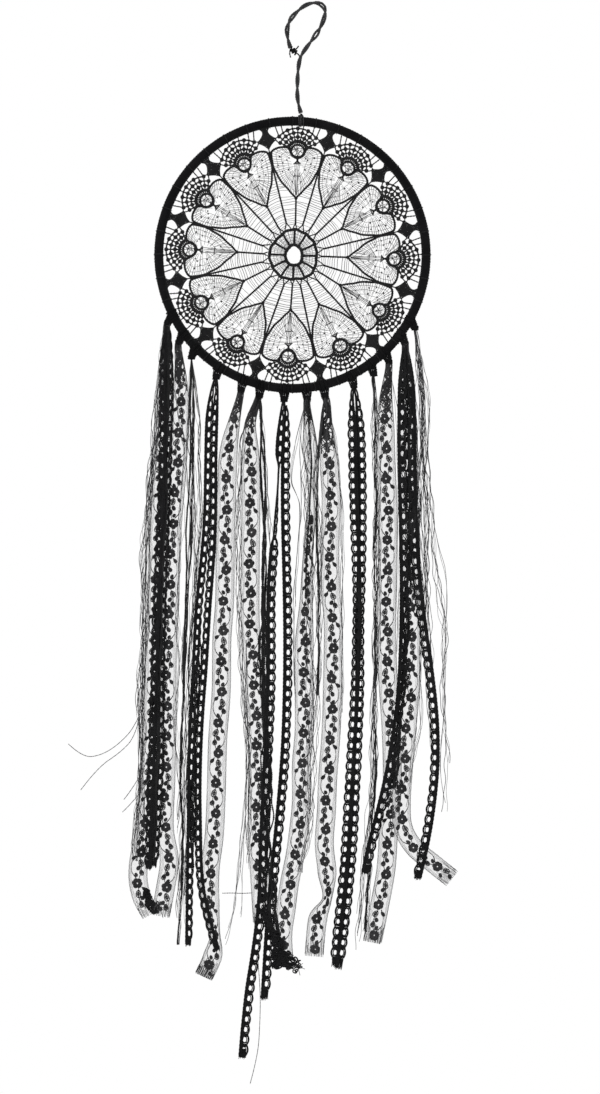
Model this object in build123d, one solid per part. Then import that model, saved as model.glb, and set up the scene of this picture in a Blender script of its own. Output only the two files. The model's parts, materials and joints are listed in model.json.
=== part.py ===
from build123d import *
import os
from math import cos, radians, sin, tan

# Crochet doily dream catcher, hung from a cord loop. Millimetres.
# The origin is the top of the hanging loop, on its inside. +Z is up, +X right, and the front faces -Y.

# Hoop: a steel ring wound with black tape
HOOP_X = -17.0
HOOP_Z = -181.0
HOOP_RADIUS = 96.8       # to the middle of the wound tube, so the hoop is 200 mm across
WRAP_RADIUS = 3.2
CORE_RADIUS = 1.5
CORE_FIT = 0.05          # between the ring and its winding

# Doily and the ties that hold its edge to the hoop
DOILY_RADIUS = 90.6
DOILY_THICKNESS = 1.2
DOILY_HOLE_RADIUS = 5.8
TIE_COUNT = 36
TIE_RADIUS = 0.4
TIE_GAP = 0.02           # between a tie's end and the winding
TIE_CLEARANCE = 0.8      # along the hoop, between a tie and a tail knot

# Hanger: one doubled cord, knotted back on itself, and its hitch round the hoop
HANGER_CORD = 2.4
HANGER_ROUTE = [(-11, -78.4), (-13.5, -70.5), (-13.5, -58), (-13, -47), (-11.5, -38), (-6, -30), (1, -21), (6, -11),
                (7, -3), (1.5, 1.5), (-7, 0), (-14.5, -6), (-20, -13), (-21.5, -22.5), (-18.5, -31.5)]
HANGER_KNOT = [(-18.2, -32.2), (-14.0, -35.8)]    # from the cord's end across to its stem
HANGER_KNOT_RADIUS = 2.4
HITCH_ANGLE = 176.4      # round the hoop, from straight down towards +X
HITCH_LENGTH = 5.5
HITCH_GAP = 0.3          # running room round the winding, where the hoop tilts
HITCH_THICKNESS = 1.2
HITCH_STUD_RADIUS = 1.7
HITCH_STUD_TOP = -79.2

# Knots that hold the tails, by angle round the hoop from straight down, with the length of hoop each one covers
TAIL_KNOTS = [(-63.0, 9.0), (-54.0, 7.0), (-46.0, 5.0), (-33.0, 7.0), (-21.5, 6.0), (-13.7, 5.5), (-3.4, 8.0),
              (6.0, 5.0), (13.4, 7.0), (25.9, 8.0), (35.4, 5.0), (43.4, 6.0), (53.4, 9.0), (60.8, 5.0)]
KNOT_GAP = 0.05
KNOT_THICKNESS = 1.2
KNOT_NECK_RADIUS = 2.4
KNOT_BALL_RADIUS = 3.0
KNOT_OUT = 4.7           # from the middle of the tube, outwards
KNOT_DROP = 3.0          # and straight down

# Tails: strand sections
TRIM_WIDTH = 6.2
TRIM_THICKNESS = 1.6
RIBBON_HALF_WIDTH = 6.75
RIBBON_THICKNESS = 1.0
RIBBON_HEAD = (2.2, 4.6)   # half widths at the first two points, where the ribbon leaves its knot

# Crochet trims: name, depth, route from the knot down
TRIMS = {
    "crochet_trim_01": (-3.4, [(-109.5, -235), (-112, -258), (-112, -297), (-113, -340), (-116, -391),
                               (-118.5, -445), (-119, -495), (-121, -549), (-122, -593), (-122.5, -624)]),
    "crochet_trim_02": (-1.2, [(-106, -235), (-107.5, -258), (-108, -297), (-109, -340), (-112, -391),
                               (-113.5, -445), (-114, -495), (-113.5, -546), (-116, -589), (-118.5, -622)]),
    "crochet_trim_03": (-2.4, [(-74.5, -274), (-77, -297), (-77.5, -329), (-78, -369), (-80.5, -401),
                               (-84.5, -438), (-86, -474), (-89, -517), (-90, -557), (-90.5, -596),
                               (-91.5, -636), (-92, -679)]),
    "crochet_trim_04": (-0.4, [(-71, -274), (-73.5, -297), (-74.5, -329), (-74.5, -369), (-76, -401),
                               (-79, -438), (-81, -474), (-84.5, -517), (-86, -557), (-85.5, -596),
                               (-84, -632), (-78.5, -661), (-71.5, -683)]),
    "crochet_trim_05": (-2.4, [(-24.5, -290), (-26, -315), (-27.5, -351), (-30, -387), (-33, -423),
                               (-32.5, -463), (-33, -503), (-35, -542), (-37, -578), (-38.5, -614),
                               (-39, -647), (-43.5, -683), (-50, -721), (-53, -760)]),
    "crochet_trim_06": (-0.4, [(-21, -290), (-22, -315), (-22.5, -351), (-22, -387), (-21, -423),
                               (-20.5, -463), (-21, -503), (-22.5, -542), (-25.5, -578), (-29, -614),
                               (-32.5, -647), (-35, -683), (-37, -718)]),
    "crochet_trim_07": (-1.1, [(25.5, -280), (26.5, -308), (27, -340), (28, -373), (30, -412), (30, -452),
                               (28.5, -495), (24.5, -535), (21.5, -575), (19.5, -611), (17, -640),
                               (14, -669), (12.5, -694)]),
    "crochet_trim_08": (1.1, [(29.5, -280), (32, -308), (33, -340), (33, -373), (32.5, -412), (31, -452),
                              (31.5, -495), (31, -535), (30, -575), (28, -611), (25.5, -640),
                              (22.5, -669), (18, -696)]),
    "crochet_trim_09": (-4.4, [(63, -250), (62, -275), (61.5, -308), (62, -344), (63, -383), (63.5, -423),
                               (63, -459), (61.5, -495), (57, -531), (51.5, -560), (44, -591), (38.5, -611),
                               (35.5, -627)]),
    "crochet_trim_10": (-2.4, [(66.5, -250), (68.5, -275), (69.5, -308), (69.5, -344), (71, -383), (73.5, -419),
                               (77.5, -452), (83, -488), (86.5, -524), (86, -557), (82.5, -586), (78, -611),
                               (73, -631)]),
}

# Yarns, bundles of fine thread and single stray threads: name, depth, diameter, route from the knot down
THREADS = {
    "thread_bundle_01": (6.2, 5.0, [(-112.5, -236), (-116.5, -268), (-119.5, -308), (-122, -358), (-124, -409),
                                    (-125.5, -459), (-126.5, -506), (-127, -553), (-128.5, -596),
                                    (-131, -619)]),
    "thread_bundle_02": (3.4, 6.0, [(-6.5, -290), (-5.5, -311), (-6, -340), (-5.5, -373), (-4.5, -409),
                                    (-4, -448), (-4.5, -488), (-4, -528), (-5, -567), (-7, -600),
                                    (-11.5, -627)]),
    "thread_bundle_03": (0.0, 5.0, [(73, -239), (75.5, -268), (78, -300), (79.5, -333), (83, -369),
                                    (87.5, -405), (91, -441), (93, -477), (93.5, -513), (93, -549),
                                    (94, -583)]),
    "yarn_01": (0.0, 3.0, [(-89.5, -259), (-88, -282), (-89, -311), (-89, -344), (-90, -380), (-91.5, -416),
                           (-94, -452), (-95, -488), (-97, -524), (-98, -560), (-96.5, -593), (-96, -619),
                           (-97.5, -647), (-99.5, -679)]),
    "yarn_02": (3.8, 2.5, [(-39.5, -287), (-39, -309), (-40.5, -335), (-38.5, -365), (-36, -401),
                           (-37.5, -441), (-39, -477), (-38.5, -513), (-37, -549), (-39, -586)]),
    "yarn_03": (-2.4, 2.5, [(5, -288), (3.5, -308), (1, -336), (0.5, -369), (1, -401), (2.5, -434),
                            (2, -466), (1, -499)]),
    "yarn_04": (4.2, 5.0, [(42, -271), (42.5, -295), (42, -322), (44, -358), (42, -394), (43, -430),
                           (43.5, -466), (42.5, -503), (43.5, -539), (42, -575), (39.5, -611), (37.5, -643),
                           (36, -670)]),
    "stray_thread_01": (-5.2, 0.6, [(-124, -505), (-130, -521), (-142, -534), (-154.5, -542), (-168, -544),
                                    (-178.5, -534)]),
    "stray_thread_02": (-6.4, 0.6, [(-127, -514), (-130.5, -529), (-141, -540), (-157.5, -551),
                                    (-169.5, -567)]),
    "stray_thread_03": (-5.2, 0.6, [(-120.5, -542), (-126.5, -559), (-138.5, -574)]),
    "stray_thread_04": (-6.4, 0.6, [(-120, -559), (-128, -572), (-139.5, -583)]),
    "stray_thread_05": (-4.0, 0.6, [(-42, -689), (-40, -712), (-40.5, -737), (-42, -759), (-47.5, -779)]),
}

# Flower lace ribbons: name, depth, route from the knot down
RIBBONS = {
    "flower_ribbon_01": (3.0, [(-109, -236), (-112.5, -261), (-114, -315), (-117.5, -373), (-120, -430),
                               (-122.5, -531), (-127, -589), (-130, -624), (-126.5, -643), (-119, -658)]),
    "flower_ribbon_02": (1.2, [(-99.5, -249), (-98, -268), (-98, -288), (-99, -315), (-101, -344),
                               (-104.5, -387), (-105.5, -430), (-107.5, -474), (-107.5, -517),
                               (-108.5, -560), (-109.5, -595), (-106, -618), (-109, -640), (-112.5, -659)]),
    "flower_ribbon_03": (1.6, [(-55, -284), (-59, -301), (-63, -322), (-64.5, -351), (-65.5, -387),
                               (-66, -430), (-68, -459), (-68.5, -496), (-71, -531), (-72, -567),
                               (-73.5, -600), (-76.5, -625), (-76.5, -649), (-73, -670), (-74.5, -687),
                               (-81.5, -703)]),
    "flower_ribbon_04": (1.6, [(-42.5, -287), (-47.5, -303), (-47.5, -322), (-47, -358), (-47.5, -401),
                               (-47.5, -445), (-45, -481), (-43, -521), (-42, -560), (-42.5, -596),
                               (-40.5, -632), (-38.5, -665)]),
    "flower_ribbon_05": (-1.0, [(-6.5, -291), (-4.5, -315), (-4, -344), (-3.5, -369), (-6, -401), (-7, -430),
                                (-8.5, -463), (-8.5, -495), (-8.5, -524), (-10.5, -549), (-10.5, -575),
                                (-12.5, -596), (-15, -614), (-19, -634), (-21.5, -653), (-24, -672),
                                (-23, -692)]),
    "flower_ribbon_06": (0.6, [(8, -289), (8, -308), (9.5, -333), (11, -358), (10, -391), (10.5, -423),
                               (12.5, -448), (12, -488), (11, -524), (8.5, -558), (7.5, -583), (6, -606),
                               (8, -627), (8, -646), (1.5, -660), (-0.5, -676), (-1.5, -688)]),
    "flower_ribbon_07": (1.0, [(52.5, -264), (50.5, -284), (50, -304), (50.5, -329), (52, -369),
                               (51.5, -412), (51, -452), (52, -488), (54.5, -528), (55, -564),
                               (52.5, -596), (50.5, -625), (45.5, -653), (40.5, -678)]),
    "flower_ribbon_08": (-0.6, [(64.5, -251), (65, -273), (66, -308), (67, -358), (68, -405), (68.5, -456),
                                (68, -495), (65.5, -524), (63, -553), (61.5, -577), (63, -595), (71, -609),
                                (84, -620), (99, -632)]),
}
# Where a ribbon is folded or twisted narrow: name, index of the point, half width there
NARROW = [("flower_ribbon_05", 2, 2.2), ("flower_ribbon_05", 3, 3.0), ("flower_ribbon_05", 4, 3.6),
          ("flower_ribbon_05", 5, 4.6), ("flower_ribbon_06", 13, 3.4), ("flower_ribbon_03", 13, 3.6)]


def place(x, z, depth=0.0):
    """A point of the front view, at a depth."""
    return Vector(x, depth, z)


def hoop_point(angle, outward=0.0):
    """A point on the hoop's centre line, at an angle from straight down, moved outwards."""
    reach = HOOP_RADIUS + outward
    return Vector(HOOP_X + reach * sin(radians(angle)), 0, HOOP_Z - reach * cos(radians(angle)))


def hoop_frame(angle):
    """The hoop's own frame, with local X at an angle from straight down and local Z along its axis."""
    return Pos(HOOP_X, 0, HOOP_Z) * Rot(90, 0, 0) * Rot(0, 0, angle - 90)


def ring(radius):
    """A closed round ring on the hoop's centre line."""
    return hoop_frame(0) * Torus(HOOP_RADIUS, radius)


def bent_bar(angle, length, radius):
    """A length of the hoop's tube with a radius of its own, centred at an angle."""
    bend = length / radians(1) / HOOP_RADIUS
    section = Plane.XZ * (Pos(HOOP_RADIUS, 0) * Circle(radius))
    return hoop_frame(angle - bend / 2) * revolve(section, Axis.Z, bend)


def rod(start, end, radius):
    """A round rod between two points."""
    along = end - start
    standing = (Align.CENTER, Align.CENTER, Align.MIN)
    return Plane(origin=start, z_dir=along) * Cylinder(radius, along.length, align=standing)


def corner_radii(points):
    """The largest arc that each corner's two runs allow."""
    radii = []
    for before, corner, after in zip(points, points[1:], points[2:]):
        turn = radians((corner - before).get_angle(after - corner))
        shorter = min((corner - before).length, (after - corner).length)
        radii.append(0.45 * shorter / tan(turn / 2))
    return radii


def swept(name, route, depth, width, thickness):
    """A strand along its route: straight runs joined by tangent arcs. A round one has no thickness."""
    points = [place(x, z, depth) for x, z in route]
    radii = corner_radii(points)
    path = FilletPolyline(*points, radius=radii)
    start = Plane(origin=path @ 0, x_dir=(0, 1, 0), z_dir=path % 0)
    section = Rectangle(thickness, width) if thickness else Circle(width / 2)
    solid = sweep(start * section, path)
    ratio = solid.volume / (section.area * path.length)
    print(f"{name}: length {path.length:.0f}, smallest radius {min(radii):.0f}, volume ratio {ratio:.3f}")
    return solid


def ribbon(name, route, depth):
    """A flat ribbon that faces the front, with its width square to its route."""
    half_widths = list(RIBBON_HEAD) + [RIBBON_HALF_WIDTH] * (len(route) - len(RIBBON_HEAD))
    for narrow_name, index, half_width in NARROW:
        if narrow_name == name:
            half_widths[index] = half_width
    points = [place(x, z, depth - RIBBON_THICKNESS / 2) for x, z in route]
    left = []
    right = []
    for index, point in enumerate(points):
        along = points[min(index + 1, len(points) - 1)] - points[max(index - 1, 0)]
        across = along.cross(Vector(0, 1, 0)).normalized() * half_widths[index]
        left.append(point + across)
        right.append(point - across)
    edges = [Edge.make_spline(left), Edge.make_line(left[-1], right[-1]),
             Edge.make_spline(right), Edge.make_line(left[0], right[0])]
    return extrude(make_face(edges), amount=RIBBON_THICKNESS, dir=(0, 1, 0))


def make_doily():
    """The crocheted disc, drawn tight across the hoop, with the hole in its middle."""
    disc = Cylinder(DOILY_RADIUS, DOILY_THICKNESS) - Cylinder(DOILY_HOLE_RADIUS, 2 * DOILY_THICKNESS)
    return hoop_frame(0) * disc


def clear_of_knots(angle):
    """Whether a tie at this angle stands beside every tail knot, not under one."""
    distances = [radians(abs(angle - knot_angle)) * HOOP_RADIUS - length / 2 for knot_angle, length in TAIL_KNOTS]
    return min(distances) > TIE_RADIUS + TIE_CLEARANCE


def make_doily_ties():
    """The thread loops between the doily's edge and the winding."""
    inner = DOILY_RADIUS - HOOP_RADIUS
    outer = -WRAP_RADIUS - TIE_GAP
    angles = [360 / TIE_COUNT * step - 180 for step in range(TIE_COUNT)]
    return Compound([rod(hoop_point(angle, inner), hoop_point(angle, outer), TIE_RADIUS)
                     for angle in angles if clear_of_knots(angle)])


def make_hitch():
    """The cord's hitch round the top of the hoop, loose enough for the hoop to tilt in it."""
    inner = WRAP_RADIUS + HITCH_GAP
    top = hoop_point(HITCH_ANGLE)
    stud = rod(top, Vector(top.X, 0, HITCH_STUD_TOP), HITCH_STUD_RADIUS)
    band = bent_bar(HITCH_ANGLE, HITCH_LENGTH, inner + HITCH_THICKNESS)
    return (band + stud) - ring(inner)


def knot_centre(angle):
    """The middle of a tail knot's ball, just outside and below the hoop."""
    return hoop_point(angle, KNOT_OUT) - Vector(0, 0, KNOT_DROP)


def make_tail_knot(angle, length):
    """A tail's knot: turns round the winding, and the ball that the tail leaves from."""
    inner = WRAP_RADIUS + KNOT_GAP
    centre = knot_centre(angle)
    neck = rod(hoop_point(angle), centre, KNOT_NECK_RADIUS)
    ball = Pos(centre) * Sphere(KNOT_BALL_RADIUS)
    turns = bent_bar(angle, length, inner + KNOT_THICKNESS)
    return (turns + neck + ball) - ring(inner)


def make_hanger_knot():
    """The knot that ties the cord's end back to its stem."""
    start, end = [Vector(x, 0, z) for x, z in HANGER_KNOT]
    ball = Sphere(HANGER_KNOT_RADIUS)
    return rod(start, end, HANGER_KNOT_RADIUS) + Pos(start) * ball + Pos(end) * ball


def main():
    parts = {
        "hoop_core": ring(CORE_RADIUS),
        "hoop_wrap": ring(WRAP_RADIUS) - ring(CORE_RADIUS + CORE_FIT),
        "doily": make_doily(),
        "doily_ties": make_doily_ties(),
        "hanger_cord": swept("hanger_cord", HANGER_ROUTE, 0, HANGER_CORD, 0),
        "hanger_knot": make_hanger_knot(),
        "hanger_hitch": make_hitch(),
    }
    for number, (angle, length) in enumerate(TAIL_KNOTS, start=1):
        parts[f"tail_knot_{number:02d}"] = make_tail_knot(angle, length)
    for name, (depth, route) in TRIMS.items():
        parts[name] = swept(name, route, depth, TRIM_WIDTH, TRIM_THICKNESS)
    for name, (depth, diameter, route) in THREADS.items():
        parts[name] = swept(name, route, depth, diameter, 0)
    for name, (depth, route) in RIBBONS.items():
        parts[name] = ribbon(name, route, depth)
    os.makedirs("parts", exist_ok=True)
    for name, part in parts.items():
        export_step(part, f"parts/{name}.step")


main()
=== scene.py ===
import json

import bpy
import numpy as np
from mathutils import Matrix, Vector


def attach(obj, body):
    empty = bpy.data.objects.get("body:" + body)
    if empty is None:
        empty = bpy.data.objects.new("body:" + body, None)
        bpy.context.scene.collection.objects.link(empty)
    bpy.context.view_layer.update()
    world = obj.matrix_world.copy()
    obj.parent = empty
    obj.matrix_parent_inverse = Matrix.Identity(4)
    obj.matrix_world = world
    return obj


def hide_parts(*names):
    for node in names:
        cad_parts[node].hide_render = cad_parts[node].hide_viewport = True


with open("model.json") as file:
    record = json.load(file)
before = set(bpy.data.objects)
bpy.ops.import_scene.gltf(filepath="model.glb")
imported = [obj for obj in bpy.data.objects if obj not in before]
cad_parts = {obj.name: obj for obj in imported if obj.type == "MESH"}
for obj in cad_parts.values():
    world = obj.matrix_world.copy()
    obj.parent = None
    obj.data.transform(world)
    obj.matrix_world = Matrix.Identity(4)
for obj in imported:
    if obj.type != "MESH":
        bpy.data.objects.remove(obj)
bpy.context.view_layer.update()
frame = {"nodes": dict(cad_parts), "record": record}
nodes = frame["nodes"]

MM = 0.001
DEPTH = np.array([0.0, 1.0, 0.0])      # from the front of the dream catcher to its back

# The frame's own sizes, in millimetres
HOOP_X = -17.0
HOOP_Z = -181.0
HOOP_RADIUS = 96.8
WRAP_RADIUS = 3.2
HITCH_ANGLE = 176.4                    # round the hoop, from straight down towards +X
TAIL_KNOTS = [(-63.0, 9.0), (-54.0, 7.0), (-46.0, 5.0), (-33.0, 7.0), (-21.5, 6.0), (-13.7, 5.5), (-3.4, 8.0),
              (6.0, 5.0), (13.4, 7.0), (25.9, 8.0), (35.4, 5.0), (43.4, 6.0), (53.4, 9.0), (60.8, 5.0)]

# The strands' routes from part.py, in millimetres: (x, z) seen from the front, with one depth each
HANGER_ROUTE = [(-11, -78.4), (-13.5, -70.5), (-13.5, -58), (-13, -47), (-11.5, -38), (-6, -30), (1, -21),
                (6, -11), (7, -3), (1.5, 1.5), (-7, 0), (-14.5, -6), (-20, -13), (-21.5, -22.5),
                (-18.5, -31.5)]

# Crochet trims: the knot that holds each, counted from the left, its depth, the side of its braid (-1 is -X),
# how far down its first scallop starts, then where it turns edge-on and its share of the full width
TRIMS = {
    "crochet_trim_01": dict(knot=1, depth=-3.4, side=1, first=2, share=0.85, route=[(-108.5, -235),
        (-110.5, -258), (-110, -297), (-110.8, -340), (-112.8, -391), (-115.5, -445), (-116.5, -495),
        (-118.5, -549), (-120, -593), (-121, -624)]),
    "crochet_trim_02": dict(knot=1, depth=-1.2, side=-1, first=5, share=0.85, route=[(-105.5, -235),
        (-106, -258), (-106, -297), (-107, -340), (-109.2, -391), (-111.2, -445), (-112, -495),
        (-112.5, -546), (-114.5, -589), (-117, -622)]),
    "crochet_trim_03": dict(knot=4, depth=-2.4, side=-1, first=1, share=0.8, route=[(-74.5, -274),
        (-77.5, -297), (-78.3, -329), (-78.8, -369), (-81.3, -401), (-85.3, -438), (-86.8, -474),
        (-89.6, -517), (-90.4, -557), (-90.8, -596), (-91.5, -636), (-92, -679)]),
    "crochet_trim_04": dict(knot=4, depth=-0.4, side=1, first=3, share=0.8, route=[(-71, -274), (-73, -297),
        (-73.7, -329), (-73.7, -369), (-75.2, -401), (-78.2, -438), (-80.2, -474), (-83.7, -517),
        (-85.2, -557), (-84.9, -596), (-84, -632), (-78.5, -661), (-71.5, -683)]),
    "crochet_trim_05": dict(knot=7, depth=-2.4, side=-1, first=2, turned=(36, 98), route=[(-24.5, -290),
        (-26, -315), (-27.5, -351), (-30, -387), (-33, -423), (-32.5, -463), (-33, -503), (-35, -542),
        (-37, -578), (-38.5, -614), (-39, -647), (-43.5, -683), (-50, -721), (-53, -760)]),
    "crochet_trim_06": dict(knot=7, depth=-0.4, side=-1, first=6, route=[(-21, -290), (-22, -315),
        (-22.5, -351), (-22, -387), (-21, -423), (-20.5, -463), (-21, -503), (-22.5, -542), (-25.5, -578),
        (-29, -614), (-32.5, -647), (-35, -683), (-37, -718)]),
    "crochet_trim_07": dict(knot=10, depth=-1.1, side=1, first=1, route=[(25.5, -280), (26.5, -308),
        (27, -340), (28, -373), (30, -412), (30, -452), (28.5, -495), (26, -535), (23.6, -575), (21.6, -611),
        (19, -640), (15.6, -669), (13.5, -694)]),
    "crochet_trim_08": dict(knot=10, depth=1.1, side=-1, first=1.5, route=[(29.5, -280), (32, -308),
        (33, -340), (33, -373), (32.5, -412), (31, -452), (31.5, -495), (29.8, -535), (28, -575), (26, -611),
        (23.3, -640), (20.2, -669), (16.5, -696)]),
    "crochet_trim_09": dict(knot=13, depth=-4.4, side=-1, first=2, route=[(63, -250), (62, -275),
        (61.5, -308), (62, -344), (63, -383), (63.5, -423), (63, -459), (61.5, -495), (57, -531),
        (51.5, -560), (44, -591), (38.5, -611), (35.5, -627)]),
    "crochet_trim_10": dict(knot=13, depth=-2.4, side=1, first=4, route=[(66.5, -250), (68.5, -275),
        (69.5, -308), (69.5, -344), (71, -383), (73.5, -419), (77.5, -452), (83, -488), (86.5, -524),
        (86, -557), (82.5, -586), (78, -611), (73, -631)]),
}

# Yarns and bundles of fine thread, and single stray threads, which no knot holds. A bundle's threads may end
# at uneven heights: uneven is the largest share of its length that they stop short
THREADS = {
    "thread_bundle_01": dict(knot=1, depth=6.2, diameter=5.0, fibres=14, route=[(-110.5, -236), (-112, -268),
        (-115.5, -308), (-122, -358), (-124, -409), (-125.5, -459), (-126.5, -506), (-127, -553),
        (-128.5, -596), (-131, -619)]),
    "thread_bundle_02": dict(knot=8, depth=3.4, diameter=6.0, fibres=9, route=[(-6.5, -290), (-5.5, -311),
        (-6, -340), (-5.5, -373), (-4.5, -409), (-4, -448), (-4.5, -488), (-4, -528), (-5, -567), (-7, -600),
        (-11.5, -627)]),
    "thread_bundle_03": dict(knot=14, depth=0.0, diameter=5.0, fibres=6, uneven=0.3, route=[(73, -239),
        (75.5, -268), (78, -300), (79.5, -333), (83, -369), (87.5, -405), (91, -441), (93, -477),
        (93.5, -513), (93, -549), (94, -583)]),
    "yarn_01": dict(knot=3, depth=0.0, diameter=3.0, fibres=4, route=[(-89.5, -259), (-88, -282), (-89, -311),
        (-89, -344), (-90, -380), (-91.5, -416), (-94, -452), (-95, -488), (-97, -524), (-98, -560),
        (-96.5, -593), (-96, -619), (-97.5, -647), (-99.5, -679)]),
    "yarn_02": dict(knot=6, depth=3.8, diameter=2.5, fibres=4, route=[(-39.5, -287), (-39, -309),
        (-40.5, -335), (-38.5, -365), (-36, -401), (-37.5, -441), (-39, -477), (-38.5, -513), (-37, -549),
        (-39, -586)]),
    "yarn_03": dict(knot=9, depth=-2.4, diameter=2.5, fibres=4, route=[(5, -288), (3.5, -308), (1, -336),
        (0.5, -369), (1, -401), (2.5, -434), (2, -466), (1, -499)]),
    "yarn_04": dict(knot=11, depth=4.2, diameter=5.0, fibres=5, route=[(42, -271), (42.5, -295), (42, -322),
        (44, -358), (42, -394), (43, -430), (43.5, -466), (42.5, -503), (43.5, -539), (42, -575),
        (39.5, -611), (37.5, -643), (36, -670)]),
    "stray_thread_01": dict(depth=-5.2, diameter=0.6, route=[(-124, -505), (-130, -521), (-142, -534),
        (-154.5, -542), (-168, -544), (-178.5, -534)]),
    "stray_thread_02": dict(depth=-6.4, diameter=0.6, route=[(-127, -514), (-130.5, -529), (-141, -540),
        (-157.5, -551), (-169.5, -567)]),
    "stray_thread_03": dict(depth=-5.2, diameter=0.6, route=[(-120.5, -542), (-126.5, -559), (-138.5, -574)]),
    "stray_thread_04": dict(depth=-6.4, diameter=0.6, route=[(-120, -559), (-128, -572), (-139.5, -583)]),
    "stray_thread_05": dict(depth=-4.0, diameter=0.6, route=[(-42, -689), (-40, -712), (-40.5, -737),
        (-42, -759), (-47.5, -779)]),
}

# Flower lace ribbons: the knot and depth of each, a flower's height and the side of its leaves, and how far
# down the gathered lace stays dark. Some have half widths for the route's points where the ribbon is folded
# narrow, no flowers above the one named, or a frayed end of many threads
RIBBONS = {
    "flower_ribbon_01": dict(knot=1, depth=3.0, flower=(-262, 1), gathered=30, route=[(-108, -236),
        (-108.5, -261), (-110, -300), (-113, -373), (-115.5, -430), (-118.5, -531), (-123, -589),
        (-128.5, -624), (-126.5, -643), (-119, -658)]),
    "flower_ribbon_02": dict(knot=2, depth=1.2, flower=(-287, 1), gathered=34, route=[(-99.5, -249),
        (-98, -268), (-98, -288), (-99, -315), (-101, -344), (-104.5, -387), (-105.5, -430), (-107.5, -474),
        (-107.5, -517), (-108.5, -560), (-109.5, -595), (-106, -618), (-109, -640), (-112.5, -659)]),
    "flower_ribbon_03": dict(knot=5, depth=1.6, flower=(-299.5, -1), gathered=24, end_threads=60,
        narrow={13: 3.6}, route=[(-55, -284), (-59, -301), (-63, -322), (-64.5, -351), (-65.5, -387), (-66, -430),
        (-68, -459), (-68.5, -496), (-71, -531), (-72, -567), (-73.5, -600), (-76.5, -625), (-76.5, -649),
        (-73, -670), (-74.5, -687), (-81.5, -703)]),
    "flower_ribbon_04": dict(knot=6, depth=1.6, flower=(-294.5, 1), gathered=26, route=[(-42.5, -287),
        (-47.5, -303), (-47.5, -322), (-47, -358), (-47.5, -401), (-47.5, -445), (-45, -481), (-43, -521),
        (-42, -560), (-42.5, -596), (-40.5, -632), (-38.5, -665)]),
    "flower_ribbon_05": dict(knot=8, depth=-1.0, flower=(-372, 1), gathered=18, bare_top=True,
        narrow={2: 2.2, 3: 3.0, 4: 3.6, 5: 4.6}, route=[
        (-6.5, -291), (-4.5, -315), (-4, -344), (-3.5, -369), (-6, -401), (-7, -430), (-8.5, -463),
        (-8.5, -495), (-8.5, -524), (-10.5, -549), (-10.5, -575), (-12.5, -596), (-15, -614), (-19, -634),
        (-21.5, -653), (-24, -672), (-23, -692)]),
    "flower_ribbon_06": dict(knot=9, depth=0.6, flower=(-333, 1), gathered=40, narrow={13: 3.4}, route=[
        (8, -289), (8, -308), (9.5, -333), (11, -358), (10, -391), (10.5, -423), (12.5, -448), (12, -488),
        (11, -524), (8.5, -558), (7.5, -583), (6, -606), (8, -627), (8, -646), (1.5, -660), (-0.5, -676),
        (-1.5, -688)]),
    "flower_ribbon_07": dict(knot=12, depth=1.0, flower=(-299.5, -1), gathered=44, end_threads=30, route=[
        (52.5, -264), (50.5, -284), (50, -304), (50.5, -329), (52, -369), (51.5, -412), (51, -452),
        (52, -488), (54.5, -528), (55, -564), (52.5, -596), (50.5, -625), (45.5, -653), (40.5, -678)]),
    "flower_ribbon_08": dict(knot=13, depth=-0.6, flower=(-281, 1), gathered=36, route=[(64.5, -251),
        (65, -273), (66, -308), (67, -358), (68, -405), (68.5, -456), (68, -495), (65.5, -524), (63, -553),
        (61.5, -577), (63, -595), (71, -609), (84, -620), (99, -632)]),
}
# Ribbons' lower ends that lie crumpled: seed, count of loops, spread, route
FOLDED_ENDS = {
    "flower_ribbon_01": (901, 90, 2.6, [(-123, 2.6, -641), (-119.5, 2.4, -650), (-114, 2.2, -653)]),
    "flower_ribbon_05": (905, 300, 3.7, [(-37, -3.4, -656), (-32, -3.6, -669), (-27, -3.4, -680),
        (-28, -3.2, -692), (-22, -3.2, -688), (-15, -3.0, -694)]),
}

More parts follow.
